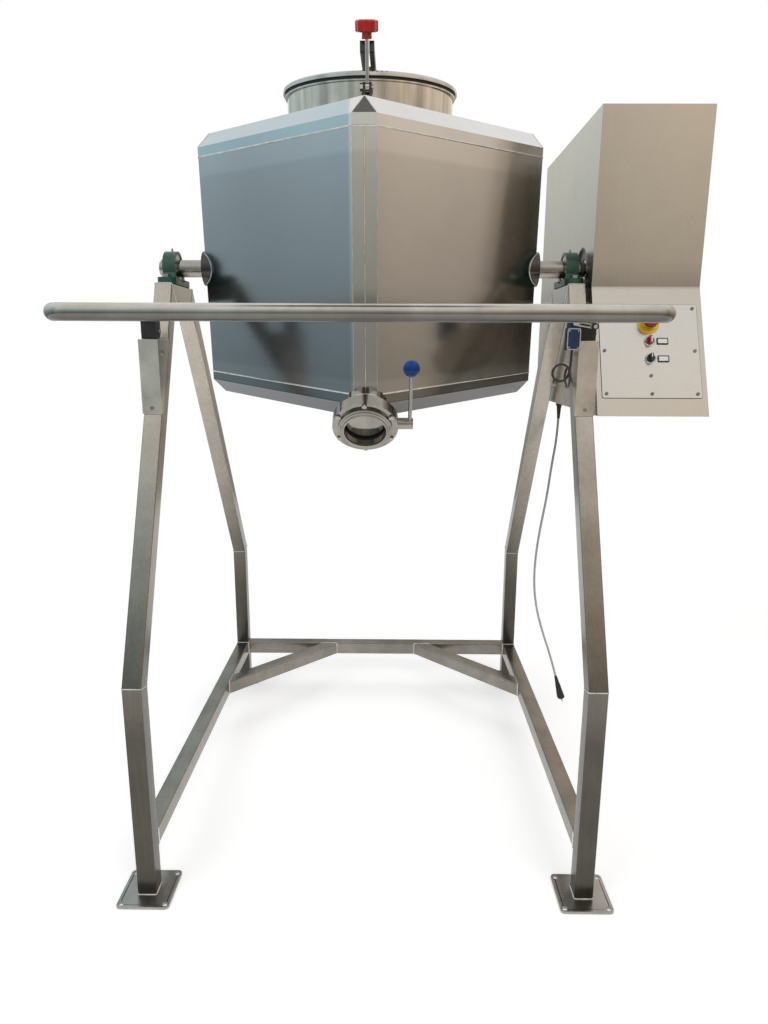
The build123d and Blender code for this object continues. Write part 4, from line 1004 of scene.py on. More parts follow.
    def pins(self) -> Piece:
        """The plug's two round pins with rounded ends: the profile turned about each pin's axis.

        Returns:
            Both pins in one mesh.
        """
        start, across, through, along = self.plug_axes()
        s, r = np.array(self.pin_profile).T
        circle = turned([1.0], [0.0], 24)[0]
        ring = circle[:, :1] * across + circle[:, 1:2] * through
        rings = start + s[:, None, None] * along + r[:, None, None] * ring
        rows, cols = rings.shape[:2]
        both = np.stack([rings + side * self.pin_offset * across for side in (-1, 1)])
        faces = tube_faces(rows, cols) + tube_faces(rows, cols, rows * cols)
        return face_outwards(make_object("plug_pins", place(both).reshape(-1, 3), faces))


@dataclass
class Studio:
    """The plain pale floor, the white surround and the soft lamps. Sizes are in metres."""

    floor_half: float = 14.0
    floor_fade: tuple[float, float] = (1.3, 3.4)
    floor_glow: float = 0.42
    ambient: float = 0.42
    wall_radius: float = 4.8
    wall_height: float = 4.4
    wall_levels: tuple[float, float] = (0.40, 0.95)
    card_place: Spot = (-0.22, -1.08, 4.39)
    card_size: float = 1.5
    card_along: Spot = (0.0, 0.971, 0.237)
    card_level: float = 0.16
    lamps_aim: Spot = (0.0, 0.0, 1.3)
    lamps: tuple = (
        ("key_lamp", (1.8, -3.4, 4.2), 3.0, 80.0, (1.0, 0.96, 0.90)),
        ("fill_lamp", (-3.0, -2.6, 3.4), 3.0, 55.0, (0.92, 0.97, 1.0)),
        ("rear_lamp", (0.0, 3.2, 3.6), 2.6, 35.0, (1.0, 1.0, 1.0)),
    )

    def build(self) -> None:
        """Makes the world, floor, cards and lamps."""
        self.world()
        self.floor()
        self.wall()
        self.ceiling_card()
        for lamp in self.lamps:
            self.lamp(*lamp)

    def world(self) -> None:
        """White to the camera and in reflections, a plain level of light to the object."""
        world = bpy.data.worlds.new("surround")
        world.use_nodes = True
        tree = world.node_tree
        back = tree.nodes["Background"]
        back.inputs["Color"].default_value = (*PLAIN, 1.0)
        level = tree.nodes.new("ShaderNodeMapRange")
        level.inputs["To Min"].default_value = self.ambient
        level.inputs["To Max"].default_value = 1.0
        tree.links.new(self.seen(tree), level.inputs[0])
        tree.links.new(level.outputs[0], back.inputs["Strength"])
        bpy.context.scene.world = world

    @staticmethod
    def seen(tree: bpy.types.NodeTree) -> Socket:
        """One where a ray is from the camera, or from a reflection or through glass.

        Args:
            tree: the world's or a material's nodes.

        Returns:
            The number's socket.
        """
        path = tree.nodes.new("ShaderNodeLightPath")
        total = path.outputs["Is Camera Ray"]
        for name in ("Is Glossy Ray", "Is Transmission Ray"):
            node = tree.nodes.new("ShaderNodeMath")
            node.operation = "MAXIMUM"
            tree.links.new(total, node.inputs[0])
            tree.links.new(path.outputs[name], node.inputs[1])
            total = node.outputs[0]
        return total

    def floor(self) -> None:
        """A pale floor that keeps the shadow and fades into the white surround."""
        half = self.floor_half
        corners = np.array([[-half, -half, 0], [half, -half, 0], [half, half, 0], [-half, half, 0]])
        floor = make_object("studio_floor", corners, [[0, 1, 2, 3]], False)
        n = Nodes("floor_paint")
        seen = self.seen(n.tree)
        n.put(n.shader, "Base Color", n.ramp(n.noise(2.0), [(0.3, grey(0.86)), (0.7, grey(0.88))]))
        n.put(n.shader, "Roughness", 0.9)
        n.put(n.shader, "Emission Color", PLAIN)
        n.put(n.shader, "Emission Strength", n.math("MULTIPLY", seen, self.floor_glow))
        reach = n.add("VectorMath", Vector=n.coords)
        reach.operation = "LENGTH"
        glow = n.add("Emission", Color=PLAIN, Strength=seen)
        blend = n.add("MixShader", Fac=n.map(reach.outputs["Value"], *self.floor_fade, 0.0, 1.0))
        n.put(blend, 1, n.shader.outputs[0])
        n.put(blend, 2, glow.outputs[0])
        n.surface(blend)
        floor.data.materials.append(n.material)

    @staticmethod
    def reflected(piece: Piece, n: Nodes, colour: object, level: object) -> None:
        """Makes a backdrop glow, and show in reflections alone.

        Args:
            piece: the backdrop.
            n: its material's nodes.
            colour: its colour or a socket.
            level: how strong it glows, a number or a socket.
        """
        n.surface(n.add("Emission", Color=colour, Strength=level))
        n.tree.nodes.remove(n.shader)
        piece.data.materials.append(n.material)
        piece.visible_camera = False
        piece.visible_diffuse = False
        piece.visible_shadow = False

    def wall(self) -> None:
        """A round toned wall that only reflections show, dark low down and light above.

        Its points lie on circles of one radius: x = r cos(a), y = r sin(a), z over its height.
        Its light is cooler on the left and warmer on the right, with broad upright bands.
        """
        rings = turned([self.wall_radius] * 8, np.linspace(0.0, self.wall_height, 8), 64)
        wall = make_object("studio_wall", rings.reshape(-1, 3), grid_faces(8, 64, False, True))
        n = Nodes("wall_tone")
        reach = self.wall_radius * 0.6
        side = n.map(n.axis("X"), -reach, reach, 0.0, 1.0)
        tint = n.ramp(side, [(0.0, (0.80, 0.96, 1.0)), (0.5, (0.98, 0.95, 0.88)),
                             (1.0, (1.0, 0.89, 0.76))])
        bands = n.ramp(n.noise(0.75, 3.0, (1.0, 1.0, 0.05), 0.6),
                       [(0.40, grey(0.72)), (0.60, grey(1.18))])
        level = n.map(n.axis("Z"), 0.2, self.wall_height, *self.wall_levels)
        self.reflected(wall, n, n.mix(1.0, tint, bands, "MULTIPLY"), level)

    def ceiling_card(self) -> None:
        """A dull card over the front that only reflections show, for the surfaces that face up."""
        half = self.card_size / 2
        across, along = np.array([1.0, 0.0, 0.0]), np.array(self.card_along)
        corners = np.array([self.card_place + half * (a * across + b * along) for a, b in CORNERS])
        card = make_object("studio_card", corners, [[0, 1, 2, 3]], False)
        self.reflected(card, Nodes("card_tone"), (0.95, 0.90, 0.84), self.card_level)

    def lamp(self, name: str, where: Spot, size: float, power: float, colour: Colour) -> None:
        """A square soft lamp that looks at the drum.

        Args:
            name: its name.
            where: its place in metres.
            size: its side in metres.
            power: its power in watts.
            colour: the colour of its light.
        """
        data = bpy.data.lights.new(name, "AREA")
        data.shape = "SQUARE"
        data.size = size
        data.energy = power
        data.color = colour
        lamp = bpy.data.objects.new(name, data)
        lamp.location = where
        lamp.visible_glossy = False
        aim = Vector(self.lamps_aim) - Vector(where)
        lamp.rotation_mode = "QUATERNION"
        lamp.rotation_quaternion = aim.to_track_quat("-Z", "Y")
        bpy.context.scene.collection.objects.link(lamp)


@dataclass
class Drum:
    """The drum's weld beads and the painted highlights along its folded edges, in its own frame.

    The drum is a cube of twice the half, its edges cut by the chamfer. The other fields are the
    height of its level seams, the radii of neck, outlet stub and hub pads, how far out the cut
    outlet corner is, and the radii of the beads and of the painted highlight lines.
    """

    half: float = 360.0
    chamfer: float = 40.0
    seam: float = 295.0
    neck_radius: float = 227.0
    stub_radius: float = 52.0
    facet_distance: float = 577.4
    hub_radius: float = 49.0
    seam_bead: float = 1.9
    strip_bead: float = 1.6
    neck_bead: float = 2.6
    stub_bead: float = 2.2
    hub_bead: float = 2.6
    facet_highlight: float = 0.9
    strip_highlight: float = 0.8

    @property
    def strip(self) -> float:
        """How far the face of each upright strip is from the drum's axis."""
        return (2 * self.half - self.chamfer) / math.sqrt(2)

    def outline(self, z: float) -> Points:
        """The drum's level outline: a square with cut corners, turned by 45 degrees.

        Args:
            z: its height over the shaft.

        Returns:
            (8, 3) corners.
        """
        a, b = self.half, self.half - self.chamfer
        corners = np.array([[b, -a], [a, -b], [a, b], [b, a], [-b, a], [-a, b], [-a, -b], [-b, -a]])
        turn = math.radians(45)
        x = corners[:, 0] * math.cos(turn) - corners[:, 1] * math.sin(turn)
        y = corners[:, 0] * math.sin(turn) + corners[:, 1] * math.cos(turn)
        return np.stack([x, y, np.full(8, z)], axis=-1)

    def hub_ring(self, side: int) -> Points:
        """Where a hub pad meets the drum: a circle about X that follows the sloping panels.

        Past half the strip's width, x falls by as much as |y| grows.

        Args:
            side: -1 on the left, 1 on the right.

        Returns:
            (120, 3) points.
        """
        y, z = self.hub_radius * np.cos(angles(120)), self.hub_radius * np.sin(angles(120))
        x = side * (self.strip - np.maximum(0.0, np.abs(y) - self.chamfer / math.sqrt(2)))
        return np.stack([x, y, z], axis=-1)

    def edge_highlights(self, beads: Welder) -> None:
        """Adds painted highlights, plain bright lines along the folded edges of the top corners' facets
        and of the front and rear strips.

        Args:
            beads: the group that they join.
        """
        a, b = self.half, self.half - self.chamfer
        c = math.cos(math.radians(45))
        for sx, sy in ((1, 1), (-1, 1), (-1, -1), (1, -1)):
            corners = np.array([[a * sx, b * sy, b], [b * sx, a * sy, b], [b * sx, b * sy, a]])
            facet = np.stack([(corners[:, 0] - corners[:, 1]) * c,
                              (corners[:, 0] + corners[:, 1]) * c, corners[:, 2]], axis=-1)
            beads.add(facet, self.facet_highlight, step=4.0, ripple=0.0)
            if sx != sy:
                continue
            for x, y, _ in facet[:2]:
                beads.add([(x, y, -self.seam), (x, y, self.seam)], self.strip_highlight, False, 8.0, 0.0)

    def build(self, finishes: Finishes) -> None:
        """Makes the weld beads on the drum: seams, strips, neck, outlet stub and hub pads, and the
        painted highlights along its folded edges.

        Args:
            finishes: the machine's finishes.
        """
        beads = Welder("drum_welds_and_highlights", drum_place)
        for z in (-self.seam, self.seam):
            beads.add(self.outline(z), self.seam_bead)
        for y in (-self.strip, self.strip):
            beads.add([(0, y, -self.seam), (0, y, self.seam)], self.strip_bead, False)
        for x in (-self.strip, self.strip):
            for low, high in ((-self.seam, -self.hub_radius), (self.hub_radius, self.seam)):
                beads.add([(x, 0, low), (x, 0, high)], self.strip_bead, False)
        beads.add(turned([self.neck_radius], [self.half], 180)[0], self.neck_bead)
        stub = turned([self.stub_radius], [self.facet_distance], 96)[0]
        beads.add(outlet_frame(stub), self.stub_bead)
        # Painted highlights: plain bright lines in the weld's finish along the folded edges.
        self.edge_highlights(beads)
        hubs = Welder("hub_welds", drum_place)
        for side in (-1, 1):
            hubs.add(self.hub_ring(side), self.hub_bead)
        finishes.dress(beads.finish(), "weld", "drum")
        # The hub welds take the panel's finish: its painted cool reflection on the left and its painted
        # light and shade by height.
        finishes.dress(hubs.finish(), "panel", "drum")


@dataclass
class Valve:
    """The butterfly valve's turned lip, and its disc on the stem, about the outlet's axis.

    The fields are in millimetres: the distances of the disc's middle and of the body's face, the
    disc's rim, thickness, dome and ridge, the stem, and the lip's profile of radii and heights.
    rounding is the part of the rim's radius at which its rounded edge begins.
    """

    middle: float = 624.0
    face: float = 648.0
    rim: float = 49.5
    rim_half: float = 3.0
    edge_half: float = 1.8
    rounding: float = 0.985
    dome: float = 1.2
    ridge: float = 3.6
    ridge_width: float = 26.0
    stem_radius: float = 7.0
    stem_ends: tuple[float, float] = (-67.5, 103.0)
    stem_cut: float = 0.6
    lip: tuple = ((50.3, -0.5), (50.3, 4.6), (51.2, 5.8), (54.6, 5.8), (55.8, 4.8), (56.4, 2.4),
                  (60.2, 2.2), (61.2, 1.4), (61.4, -0.5))

    def build(self, finishes: Finishes) -> None:
        """Makes the lip on the body's face, the disc and the stem.

        Args:
            finishes: the machine's finishes.
        """
        finishes.dress(self.lip_ring(), "valve", "drum")
        disc = finishes.dress(self.disc(), "valve", "valve_flap")
        finishes.dress(self.stem(), "valve", "valve_flap")
        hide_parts("valve_disc")

    def lip_ring(self) -> Piece:
        """The lip: a closed profile of radius and height turned about the axis.

        Returns:
            The lip.
        """
        radius, height = np.array(self.lip).T
        rings = turned(radius, height + self.face, 128)
        piece = lofted("valve_lip", outlet_place(rings), looped=True)
        piece.modifiers.new("edges", "EDGE_SPLIT").split_angle = math.radians(40)
        return piece

    def disc(self) -> Piece:
        """The disc: rings out from the middle of its face, round the rim and back.

        With q the distance from the middle over the rim's radius, and v the distance from the
        stem's line, half its thickness is rim_half + dome (1 - q^2)
        + ridge exp(-(v / ridge_width)^2) (1 - q^8).

        Returns:
            The disc.
        """
        turn = angles(96)
        q = np.sin(np.linspace(0.02, 1, 40) * np.pi / 2) * self.rounding
        v = self.rim * q[:, None] * np.sin(turn)
        half = (self.rim_half + self.dome * (1 - q ** 2))[:, None]
        half = half + self.ridge * np.exp(-((v / self.ridge_width) ** 2)) * (1 - q ** 8)[:, None]
        flat = np.stack([self.rim * q[:, None] * np.cos(turn), v], axis=-1)
        front = np.concatenate([flat, (self.middle + half)[..., None]], axis=-1)
        back = np.concatenate([flat, (self.middle - half)[..., None]], axis=-1)[::-1]
        heights = (self.middle + self.edge_half, self.middle - self.edge_half)
        edges = turned([self.rim] * 2, heights, 96)
        return lofted("valve_disc_face", outlet_place(np.concatenate([front, edges, back])))

    def stem(self) -> Piece:
        """The round stem through the disc, to the lever's cap, with its ends cut off a little.

        Returns:
            The stem.
        """
        low, high = self.stem_ends
        along = (low, low + self.stem_cut, high - self.stem_cut, high)
        rings = turned(self.stem_radius * np.array([0.92, 1.0, 1.0, 0.92]), along, 40)
        return lofted("valve_stem", outlet_place(rings[..., [2, 0, 1]] + (0, 0, self.middle)))


@dataclass
class Stand:
    """The weld beads of the tube stand and of the guard.

    The fields are in millimetres: half the track, half the tube and its corner; the middle line of
    one side frame as pairs of y and z; the rails' middle height and the braces' reach; the guard's
    bend, radius, front and height; and the radii of the beads.
    """

    half_track: float = 585.0
    half_tube: float = 25.0
    corner: float = 4.0
    line: tuple = ((-553, 8), (-553, 600), (-90, 1596), (97, 1596), (760, 600), (760, 8))
    rail_height: float = 151.0
    brace_reach: float = 390.0
    guard_bend: float = 38.0
    guard_radius: float = 16.2
    guard_front: float = -841.0
    guard_height: float = 1505.0
    joint_bead: float = 1.5
    foot_bead: float = 2.4
    rail_bead: float = 2.0
    brace_bead: float = 1.9
    guard_bead: float = 0.7

    def tube_outline(self) -> Points:
        """The tube's outline in its own section: a square with rounded corners.

        Returns:
            (20, 2) points in millimetres.
        """
        h, r = self.half_tube, self.corner
        turn = np.linspace(0, np.pi / 2, 5)
        corner = np.stack([np.cos(turn), np.sin(turn)], axis=-1) * r + (h - r)
        flips = [(1, 1, False), (-1, 1, True), (-1, -1, False), (1, -1, True)]
        return np.vstack([(corner[::-1] if back else corner) * (a, b) for a, b, back in flips])

    def ring(self, centre: Sequence, way: Sequence, normal: Sequence, across: Sequence) -> Points:
        """The tube's outline carried along its own direction onto a cutting plane.

        Args:
            centre: where the tube's middle line meets the plane.
            way: the tube's direction.
            normal: the plane's normal.
            across: a direction square to the tube, its section's first axis.

        Returns:
            The closed outline on the plane.
        """
        way, normal, across = (np.asarray(v, dtype=float) for v in (way, normal, across))
        way = way / np.linalg.norm(way)
        second = np.cross(way, across)
        flat = self.tube_outline()
        points = flat[:, :1] * across + flat[:, 1:] * second
        slide = -(points @ normal) / (way @ normal)
        return np.asarray(centre, dtype=float) + points + slide[:, None] * way

    def build(self, finishes: Finishes) -> None:
        """Makes the beads round each joint of the stand, and the guard's seams.

        Args:
            finishes: the machine's finishes.
        """
        beads = Welder("stand_welds")
        right, up = (1, 0, 0), (0, 0, 1)
        front, rear = self.line[0][0] + self.half_tube, self.line[-1][0] - self.half_tube
        inner, inset = self.half_track - self.half_tube, self.half_tube * math.sqrt(2)
        for side in (-1, 1):
            x = side * self.half_track
            points = [np.array((x, *p), dtype=float) for p in self.line]
            ways = [(b - a) / np.linalg.norm(b - a) for a, b in zip(points, points[1:])]
            for point, before, after in zip(points[1:], ways, ways[1:]):
                beads.add(self.ring(point, before, before + after, right), self.joint_bead)
            for foot in (points[0], points[-1]):
                beads.add(self.ring(foot, up, up, right), self.foot_bead)
            for y in (front, rear):
                rail = (x, y, self.rail_height)
                beads.add(self.ring(rail, (0, 1, 0), (0, 1, 0), right), self.rail_bead)
            bar = (side * inner, self.line[-1][0], self.rail_height)
            beads.add(self.ring(bar, right, right, up), self.rail_bead)
            slant = (side * -1.0, 1.0, 0.0)
            start = (side * inner, rear - self.brace_reach + inset, self.rail_height)
            end = (side * (inner - self.brace_reach + inset), rear, self.rail_height)
            beads.add(self.ring(start, slant, right, up), self.brace_bead)
            beads.add(self.ring(end, slant, (0, 1, 0), up), self.brace_bead)
        finishes.dress(beads.finish(), "weld", "stand")
        self.guard_seams(finishes)

    def guard_seams(self, finishes: Finishes) -> None:
        """Makes the butt seams where the guard's bends meet its straight tubes.

        Args:
            finishes: the machine's finishes.
        """
        beads = Welder("guard_welds")
        for side in (-1, 1):
            seam = turned([self.guard_radius], [side * (self.half_track - self.guard_bend)], 60)[0]
            beads.add(seam[:, [2, 0, 1]] + (0, self.guard_front, self.guard_height), self.guard_bead)
        finishes.dress(beads.finish(), "guard", "guard")


@dataclass
class Knob:
    """The lid clamp's red star knob, modelled about its own axis and leant outwards.

    The fields are in millimetres: the head's radius, lobes and heights, the base's height over
    the clamp's pivot, the pivot's y and z on the drum, and the stem's pairs of height and radius.
    shoulder and head_ends are parts of the head's radius, where it is rounded and at its ends.
    """

    lobes: int = 8
    lobe_depth: float = 0.055
    radius: float = 26.0
    head_low: float = 13.0
    head_high: float = 39.0
    lean: float = math.radians(15)
    base: float = 98.0
    pivot: tuple[float, float] = (-250.0, 419.3)
    shoulder: float = 0.80
    head_ends: tuple[float, float] = (0.55, 0.62)
    stem_profile: tuple = ((0.0, 11.4), (0.8, 12.0), (6.0, 12.0), (12.0, 11.4), (13.6, 12.4))
    points_round: int = 192

    def build(self, finishes: Finishes) -> None:
        """Makes the head and the stem of the knob.

        Args:
            finishes: the machine's finishes.
        """
        head = finishes.dress(lofted("knob_head", self.place(self.head())), "red", "clamp_knob")
        height, radius = np.array(self.stem_profile).T
        stem = self.place(turned(radius, height, self.points_round))
        finishes.dress(lofted("knob_stem", stem), "stem_red", "clamp_knob")
        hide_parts("star_knob")

    def head(self) -> Points:
        """The head's rings about its own axis.

        The radius is R (1 + lobe_depth cos(lobes * angle)) times a profile over its height, which
        rises by a sine from its shoulder to 1 within a sixth of the height of each end.

        Returns:
            (33, points round, 3) points in millimetres.
        """
        t = np.linspace(0, 1, 33)
        edge = np.clip(np.minimum(t, 1 - t) * 6, 0, 1)
        profile = self.shoulder + (1 - self.shoulder) * np.sin(edge * np.pi / 2)
        profile[0], profile[-1] = self.head_ends
        lobe = 1 + self.lobe_depth * np.cos(self.lobes * angles(self.points_round))
        height = self.head_low + t * (self.head_high - self.head_low)
        return turned(self.radius * profile[:, None] * lobe, height, self.points_round)

    def place(self, local: Points) -> Points:
        """Leans points about the clamp's pivot and puts them on the drum.

        Args:
            local: (..., 3) points about the knob's axis, in millimetres.

        Returns:
            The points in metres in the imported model.
        """
        p = local + np.array([0, 0, self.base])
        c, s = math.cos(self.lean), math.sin(self.lean)
        y = p[..., 1] * c - p[..., 2] * s + self.pivot[0]
        z = p[..., 1] * s + p[..., 2] * c + self.pivot[1]
        return drum_place(np.stack([p[..., 0], y, z], axis=-1))


@dataclass
class Console:
    """Small things on the sloping console: label plates, the panel's seal, whose black rim also
    paints the shadow line round the panel, and the pointers.

    The fields are in millimetres: the console's middle, front and upper bend, and how far it
    falls and runs back; the places of the two selectors down the slope; the labels' distance
    beside them, their two sizes, their levels over the sheet and corner radii; the pointers'
    levels, and each pointer's middle from its selector's, size and corner radius; how far a
    plate's edge is softened; the panel's side and middle; and the seal's rim, width, levels and
    corner radii.
    """

    middle: float = 770.5
    front: float = -130.0
    bend: float = 1612.0
    fall: float = 347.0
    run: float = 144.0
    places: tuple[float, float] = (161.5, 212.5)
    label_across: float = 35.8
    label_frame: tuple[float, float] = (31.5, 19.0)
    label_plate: tuple[float, float] = (25.5, 12.5)
    label_levels: tuple[float, float, float] = (2.0, 4.2, 4.7)
    label_corners: tuple[float, float] = (2.0, 1.0)
    pointer_levels: tuple[float, float] = (18.6, 19.7)
    pointer_upper: tuple = ((1.9, 0.0), (3.0, 17.0), 0.9)
    pointer_lower: tuple = ((0.0, 4.6), (2.4, 10.0), 0.8)
    edge_soft: float = 0.3
    panel_side: float = 270.0
    panel_middle: float = 189.0
    seal_rim: float = 1.1
    seal_width: float = 12.0
    seal_levels: tuple[float, float] = (-0.3, 0.9)
    seal_corners: tuple[float, float] = (5.0, 3.0)

    def place(self, local: Points) -> Points:
        """Puts points on the slope in their place.

        Args:
            local: (..., 3) in millimetres: across, up the slope and out of the panel.

        Returns:
            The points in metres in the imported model.
        """
        length = math.hypot(self.fall, self.run)
        right = np.array([1.0, 0.0, 0.0])
        up = np.array([0.0, self.run / length, self.fall / length])
        out = np.array([0.0, -self.fall / length, self.run / length])
        p = np.asarray(local, dtype=float)
        origin = np.array([self.middle, self.front, self.bend])
        return place(origin + p[..., :1] * right + p[..., 1:2] * up + p[..., 2:3] * out)

    @staticmethod
    def outline(size: tuple[float, float], radius: float) -> Points:
        """A rectangle's outline about its middle, with rounded corners.

        Args:
            size: its width and height.
            radius: its corners' radius.

        Returns:
            (28, 2) points.
        """
        turn = np.linspace(0, np.pi / 2, 7)
        w, h = size[0] / 2 - radius, size[1] / 2 - radius
        arcs = []
        for index, (a, b) in enumerate(((w, h), (-w, h), (-w, -h), (w, -h))):
            angle = turn + index * np.pi / 2
            arcs.append(np.stack([a + radius * np.cos(angle), b + radius * np.sin(angle)], axis=-1))
        return np.vstack(arcs)

    @staticmethod
    def raised(flat: Points, level: float) -> Points:
        """Gives a flat outline its level over the panel."""
        return np.hstack([flat, np.full((len(flat), 1), level)])

    def seal(self) -> Piece:
        """The thin black rim of the panel's seal, which also paints the shadow line round the panel: an
        outer and an inner outline, each low and high.

        Returns:
            The rim.
        """
        outer, inner = self.panel_side + 2 * self.seal_rim, self.panel_side - self.seal_width
        low, high = self.seal_levels
        rings = []
        for side, radius, levels in zip((outer, inner), self.seal_corners, ((low, high), (high, low))):
            flat = self.outline((side, side), radius) - (0.0, self.panel_middle)
            rings += [self.raised(flat, level) for level in levels]
        return lofted("panel_seal_shadow_line", self.place(np.stack(rings)), looped=True, smooth=False)

    def plate(self, name: str, centre: tuple[float, float], size: tuple[float, float],
              levels: tuple[float, float], radius: float) -> Piece:
        """A thin plate with rounded corners and a softened upper edge.

        Args:
            name: the piece's name.
            centre: its middle, across and up the slope.
            size: its width and height.
            levels: its lower and upper level over the sheet.
            radius: its corners' radius.

        Returns:
            The plate.
        """
        low, high = levels
        flat = self.outline(size, radius)
        soft = min(self.edge_soft, (high - low) / 3)
        shrink = 1 - soft / max(size)
        rings = [self.raised(flat + centre, low), self.raised(flat + centre, high - soft),
                 self.raised(flat * shrink + centre, high)]
        return lofted(name, self.place(np.stack(rings)), smooth=False)

    def build(self, finishes: Finishes) -> None:
        """Makes the frames, the blank plates, the panel's seal with its painted shadow line, and the
        pointers.

        Args:
            finishes: the machine's finishes.
        """
        for name, down in zip(("upper", "lower"), self.places):
            centre = (self.label_across, -down)
            frame = self.plate(f"label_frame_{name}", centre, self.label_frame,
                               self.label_levels[:2], self.label_corners[0])
            blank = self.plate(f"label_plate_{name}", centre, self.label_plate,
                               self.label_levels[1:], self.label_corners[1])
            finishes.dress(frame, "black", "stand")
            finishes.dress(blank, "white", "stand")
        finishes.dress(self.seal(), "rubber", "stand")
        pointers = (("upper", self.pointer_upper), ("lower", self.pointer_lower))
        for down, (name, ((across, up), size, radius)) in zip(self.places, pointers):
            mark = self.plate(f"pointer_{name}", (across, up - down), size, self.pointer_levels, radius)
            finishes.dress(mark, "white", f"selector_{name}")


@dataclass
class SwitchTrim:
    """The limit switch's cover plate: a pale frame round a blue field, with four screws.

    The fields are in millimetres: the switch's front face; the frame's margin, width, thickness
    and the power of its outline; the screws' place and size, and their profile as parts of these.
    """

    left: float = 522.5
    right: float = 558.5
    front: float = -288.82
    low: float = 1439.0
    high: float = 1495.0
    margin: float = 0.3
    frame: float = 2.5
    thick: float = 0.7
    power: float = 12.0
    screw_inset: float = 6.4
    screw_radius: float = 2.4
    screw_height: float = 1.0
    screw_profile: tuple = ((1.0, 0.0), (1.0, 0.55), (0.8, 0.9), (0.4, 1.0))

    def build(self, finishes: Finishes) -> None:
        """Makes the frame and the screws on the switch's front face.

        Args:
            finishes: the machine's finishes.
        """
        centre = np.array([(self.left + self.right) / 2, self.front, (self.low + self.high) / 2])
        half = np.array([self.right - self.left, self.high - self.low]) / 2 - self.margin
        section = ((0.0, 0.0), (0.0, self.thick), (self.frame, self.thick), (self.frame, 0.0))
        rings = np.stack([centre + self.rounded(half - inset, depth) for inset, depth in section])
        frame = lofted("switch_cover_frame", place(rings), looped=True, smooth=False)
        finishes.dress(frame, "lever", "stand")
        for index, (a, b) in enumerate(CORNERS):
            across, up = (half - self.screw_inset) * (a, b)
            screw = self.screw(f"switch_screw_{index}", centre + (across, 0.0, up))
            finishes.dress(screw, "bolt", "stand")

    def rounded(self, half: Points, depth: float) -> Points:
        """A rounded rectangle as the superellipse |x/w|^p + |z/h|^p = 1.

        Args:
            half: its half width w and half height h.
            depth: how far it stands off the face.

        Returns:
            (48, 3) points about the face's middle.
        """
        cos, sin, p = np.cos(angles(48)), np.sin(angles(48)), self.power
        reach = (np.abs(cos / half[0]) ** p + np.abs(sin / half[1]) ** p) ** (-1 / p)
        return np.stack([reach * cos, np.full(48, -depth), reach * sin], axis=-1)

    def screw(self, name: str, centre: Points) -> Piece:
        """A low round screw head with a softened rim, facing the front.

        Args:
            name: the piece's name.
            centre: its middle on the face, in millimetres.

        Returns:
            The screw head.
        """
        radius, height = np.array(self.screw_profile).T
        rings = turned(radius * self.screw_radius, -height * self.screw_height, 20)
        return lofted(name, place(rings[..., [0, 2, 1]] + centre))


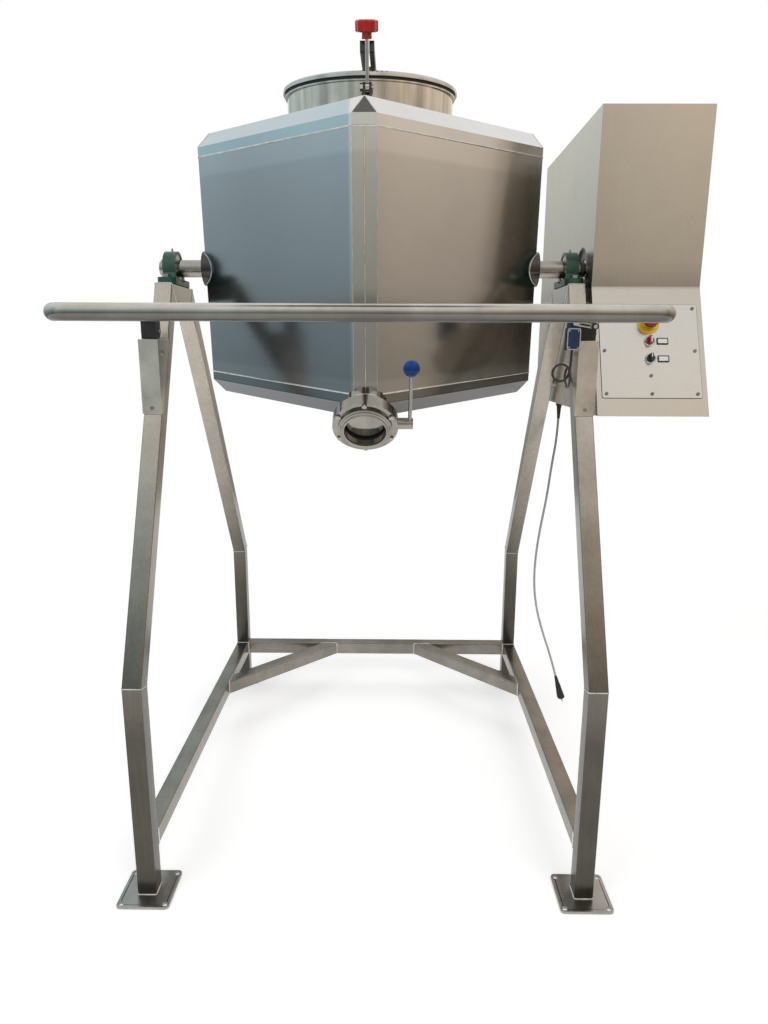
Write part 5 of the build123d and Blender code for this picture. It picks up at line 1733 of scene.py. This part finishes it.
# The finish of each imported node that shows.
CAD_FINISH: dict[str, str] = {
    "tube": "lower_legs front_struts rear_struts",
    "tube_deep": "side_rails",
    "tube_across": "corner_braces rear_crossbar",
    "beam": "bearing_beams",
    "plate": "foot_plates",
    "green": "bearing_housings",
    "bolt": "bearing_outer_rings bearing_bolts valve_bolts cover_bosses guard_pivot_bolts channel_bolts",
    "shaft": "bearing_inner_rings drum_shafts gearbox_output_sleeve",
    "cap": "drum_top_cap",
    "cap_shaded": "drum_bottom_cap",
    "panel": "drum_side_panels",
    "neck": "inlet_neck",
    # The yoke and brackets take the dark steel, painted shade on their shadowed undersides.
    "dark": "lid_hinge_bracket clamp_bracket lid_yoke",
    "bright": "bracket_pins swing_bolt selector_bezels",
    "lid": "lid",
    "rubber": "lid_gasket valve_seal",
    "valve": "outlet_stub valve_body valve_lever",
    "blue": "lever_ball",
    "cabinet": "drive_cover cover_rear_panel mounting_plate",
    "gearbox": "gearbox",
    "motor": "motor",
    "console": "control_panel",
    "screw": "panel_screws",
    "yellow": "stop_collar",
    "dark_red": "stop_button selector_knob_upper",
    "black": "selector_knob_lower contact_blocks guard_hinge_heads guard_posts switch_roller cord_gland",
    "guard": "guard_bar",
    "channel": "guard_channels",
    "switch": "limit_switch",
    "lever": "switch_lever",
}

# Folded sheets and plates, whose edges are softened. The others' sharp edges are split.
BEVELLED: frozenset = frozenset(("drive_cover", "control_panel", "guard_channels", "foot_plates"))
# In metres, and the turns between two faces from which an edge is softened or split.
MERGE_DISTANCE = 0.00001
BEVEL_WIDTH = 0.0009
SOFTENED_FROM = math.radians(20)
SPLIT_FROM = math.radians(28)


def dress_node(node: Piece, finish: str, finishes: Finishes) -> None:
    """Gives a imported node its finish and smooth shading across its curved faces.

    Its loose triangles are joined and split again at sharp edges by modifiers, so that its own
    vertices stay as they are.

    Args:
        node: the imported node's object.
        finish: the finish's name.
        finishes: the machine's finishes.
    """
    finishes.coat(node, finish)
    log.info("%s: %s", node.name, finish)
    node.data.polygons.foreach_set("use_smooth", np.full(len(node.data.polygons), True))
    node.modifiers.new("join", "WELD").merge_threshold = MERGE_DISTANCE
    if node.name in BEVELLED:
        bevel = node.modifiers.new("softened_edges", "BEVEL")
        bevel.width = BEVEL_WIDTH
        bevel.segments = 2
        bevel.limit_method = "ANGLE"
        bevel.angle_limit = SOFTENED_FROM
        node.modifiers.new("flat_faces", "WEIGHTED_NORMAL").weight = 100
        return
    node.modifiers.new("edges", "EDGE_SPLIT").split_angle = SPLIT_FROM


def main(frame: dict) -> None:
    """Builds the camera, the cords and the studio, and then each sub-assembly in order.

    Args:
        frame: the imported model, as the frame's loader gives it.
    """
    finishes = Finishes()
    PhotoCamera().build()
    Cords().build(finishes)
    Studio().build()
    for finish, names in CAD_FINISH.items():
        for name in names.split():
            dress_node(frame["nodes"][name], finish, finishes)
    for part in (Drum(), Valve(), Stand(), Knob(), Console(), SwitchTrim()):
        part.build(finishes)
    bpy.context.scene.view_settings.view_transform = "Standard"


if __name__ == "__main__":
    logging.basicConfig(level=logging.INFO)
    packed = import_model()
    main(packed)
    bpy.context.view_layer.update()
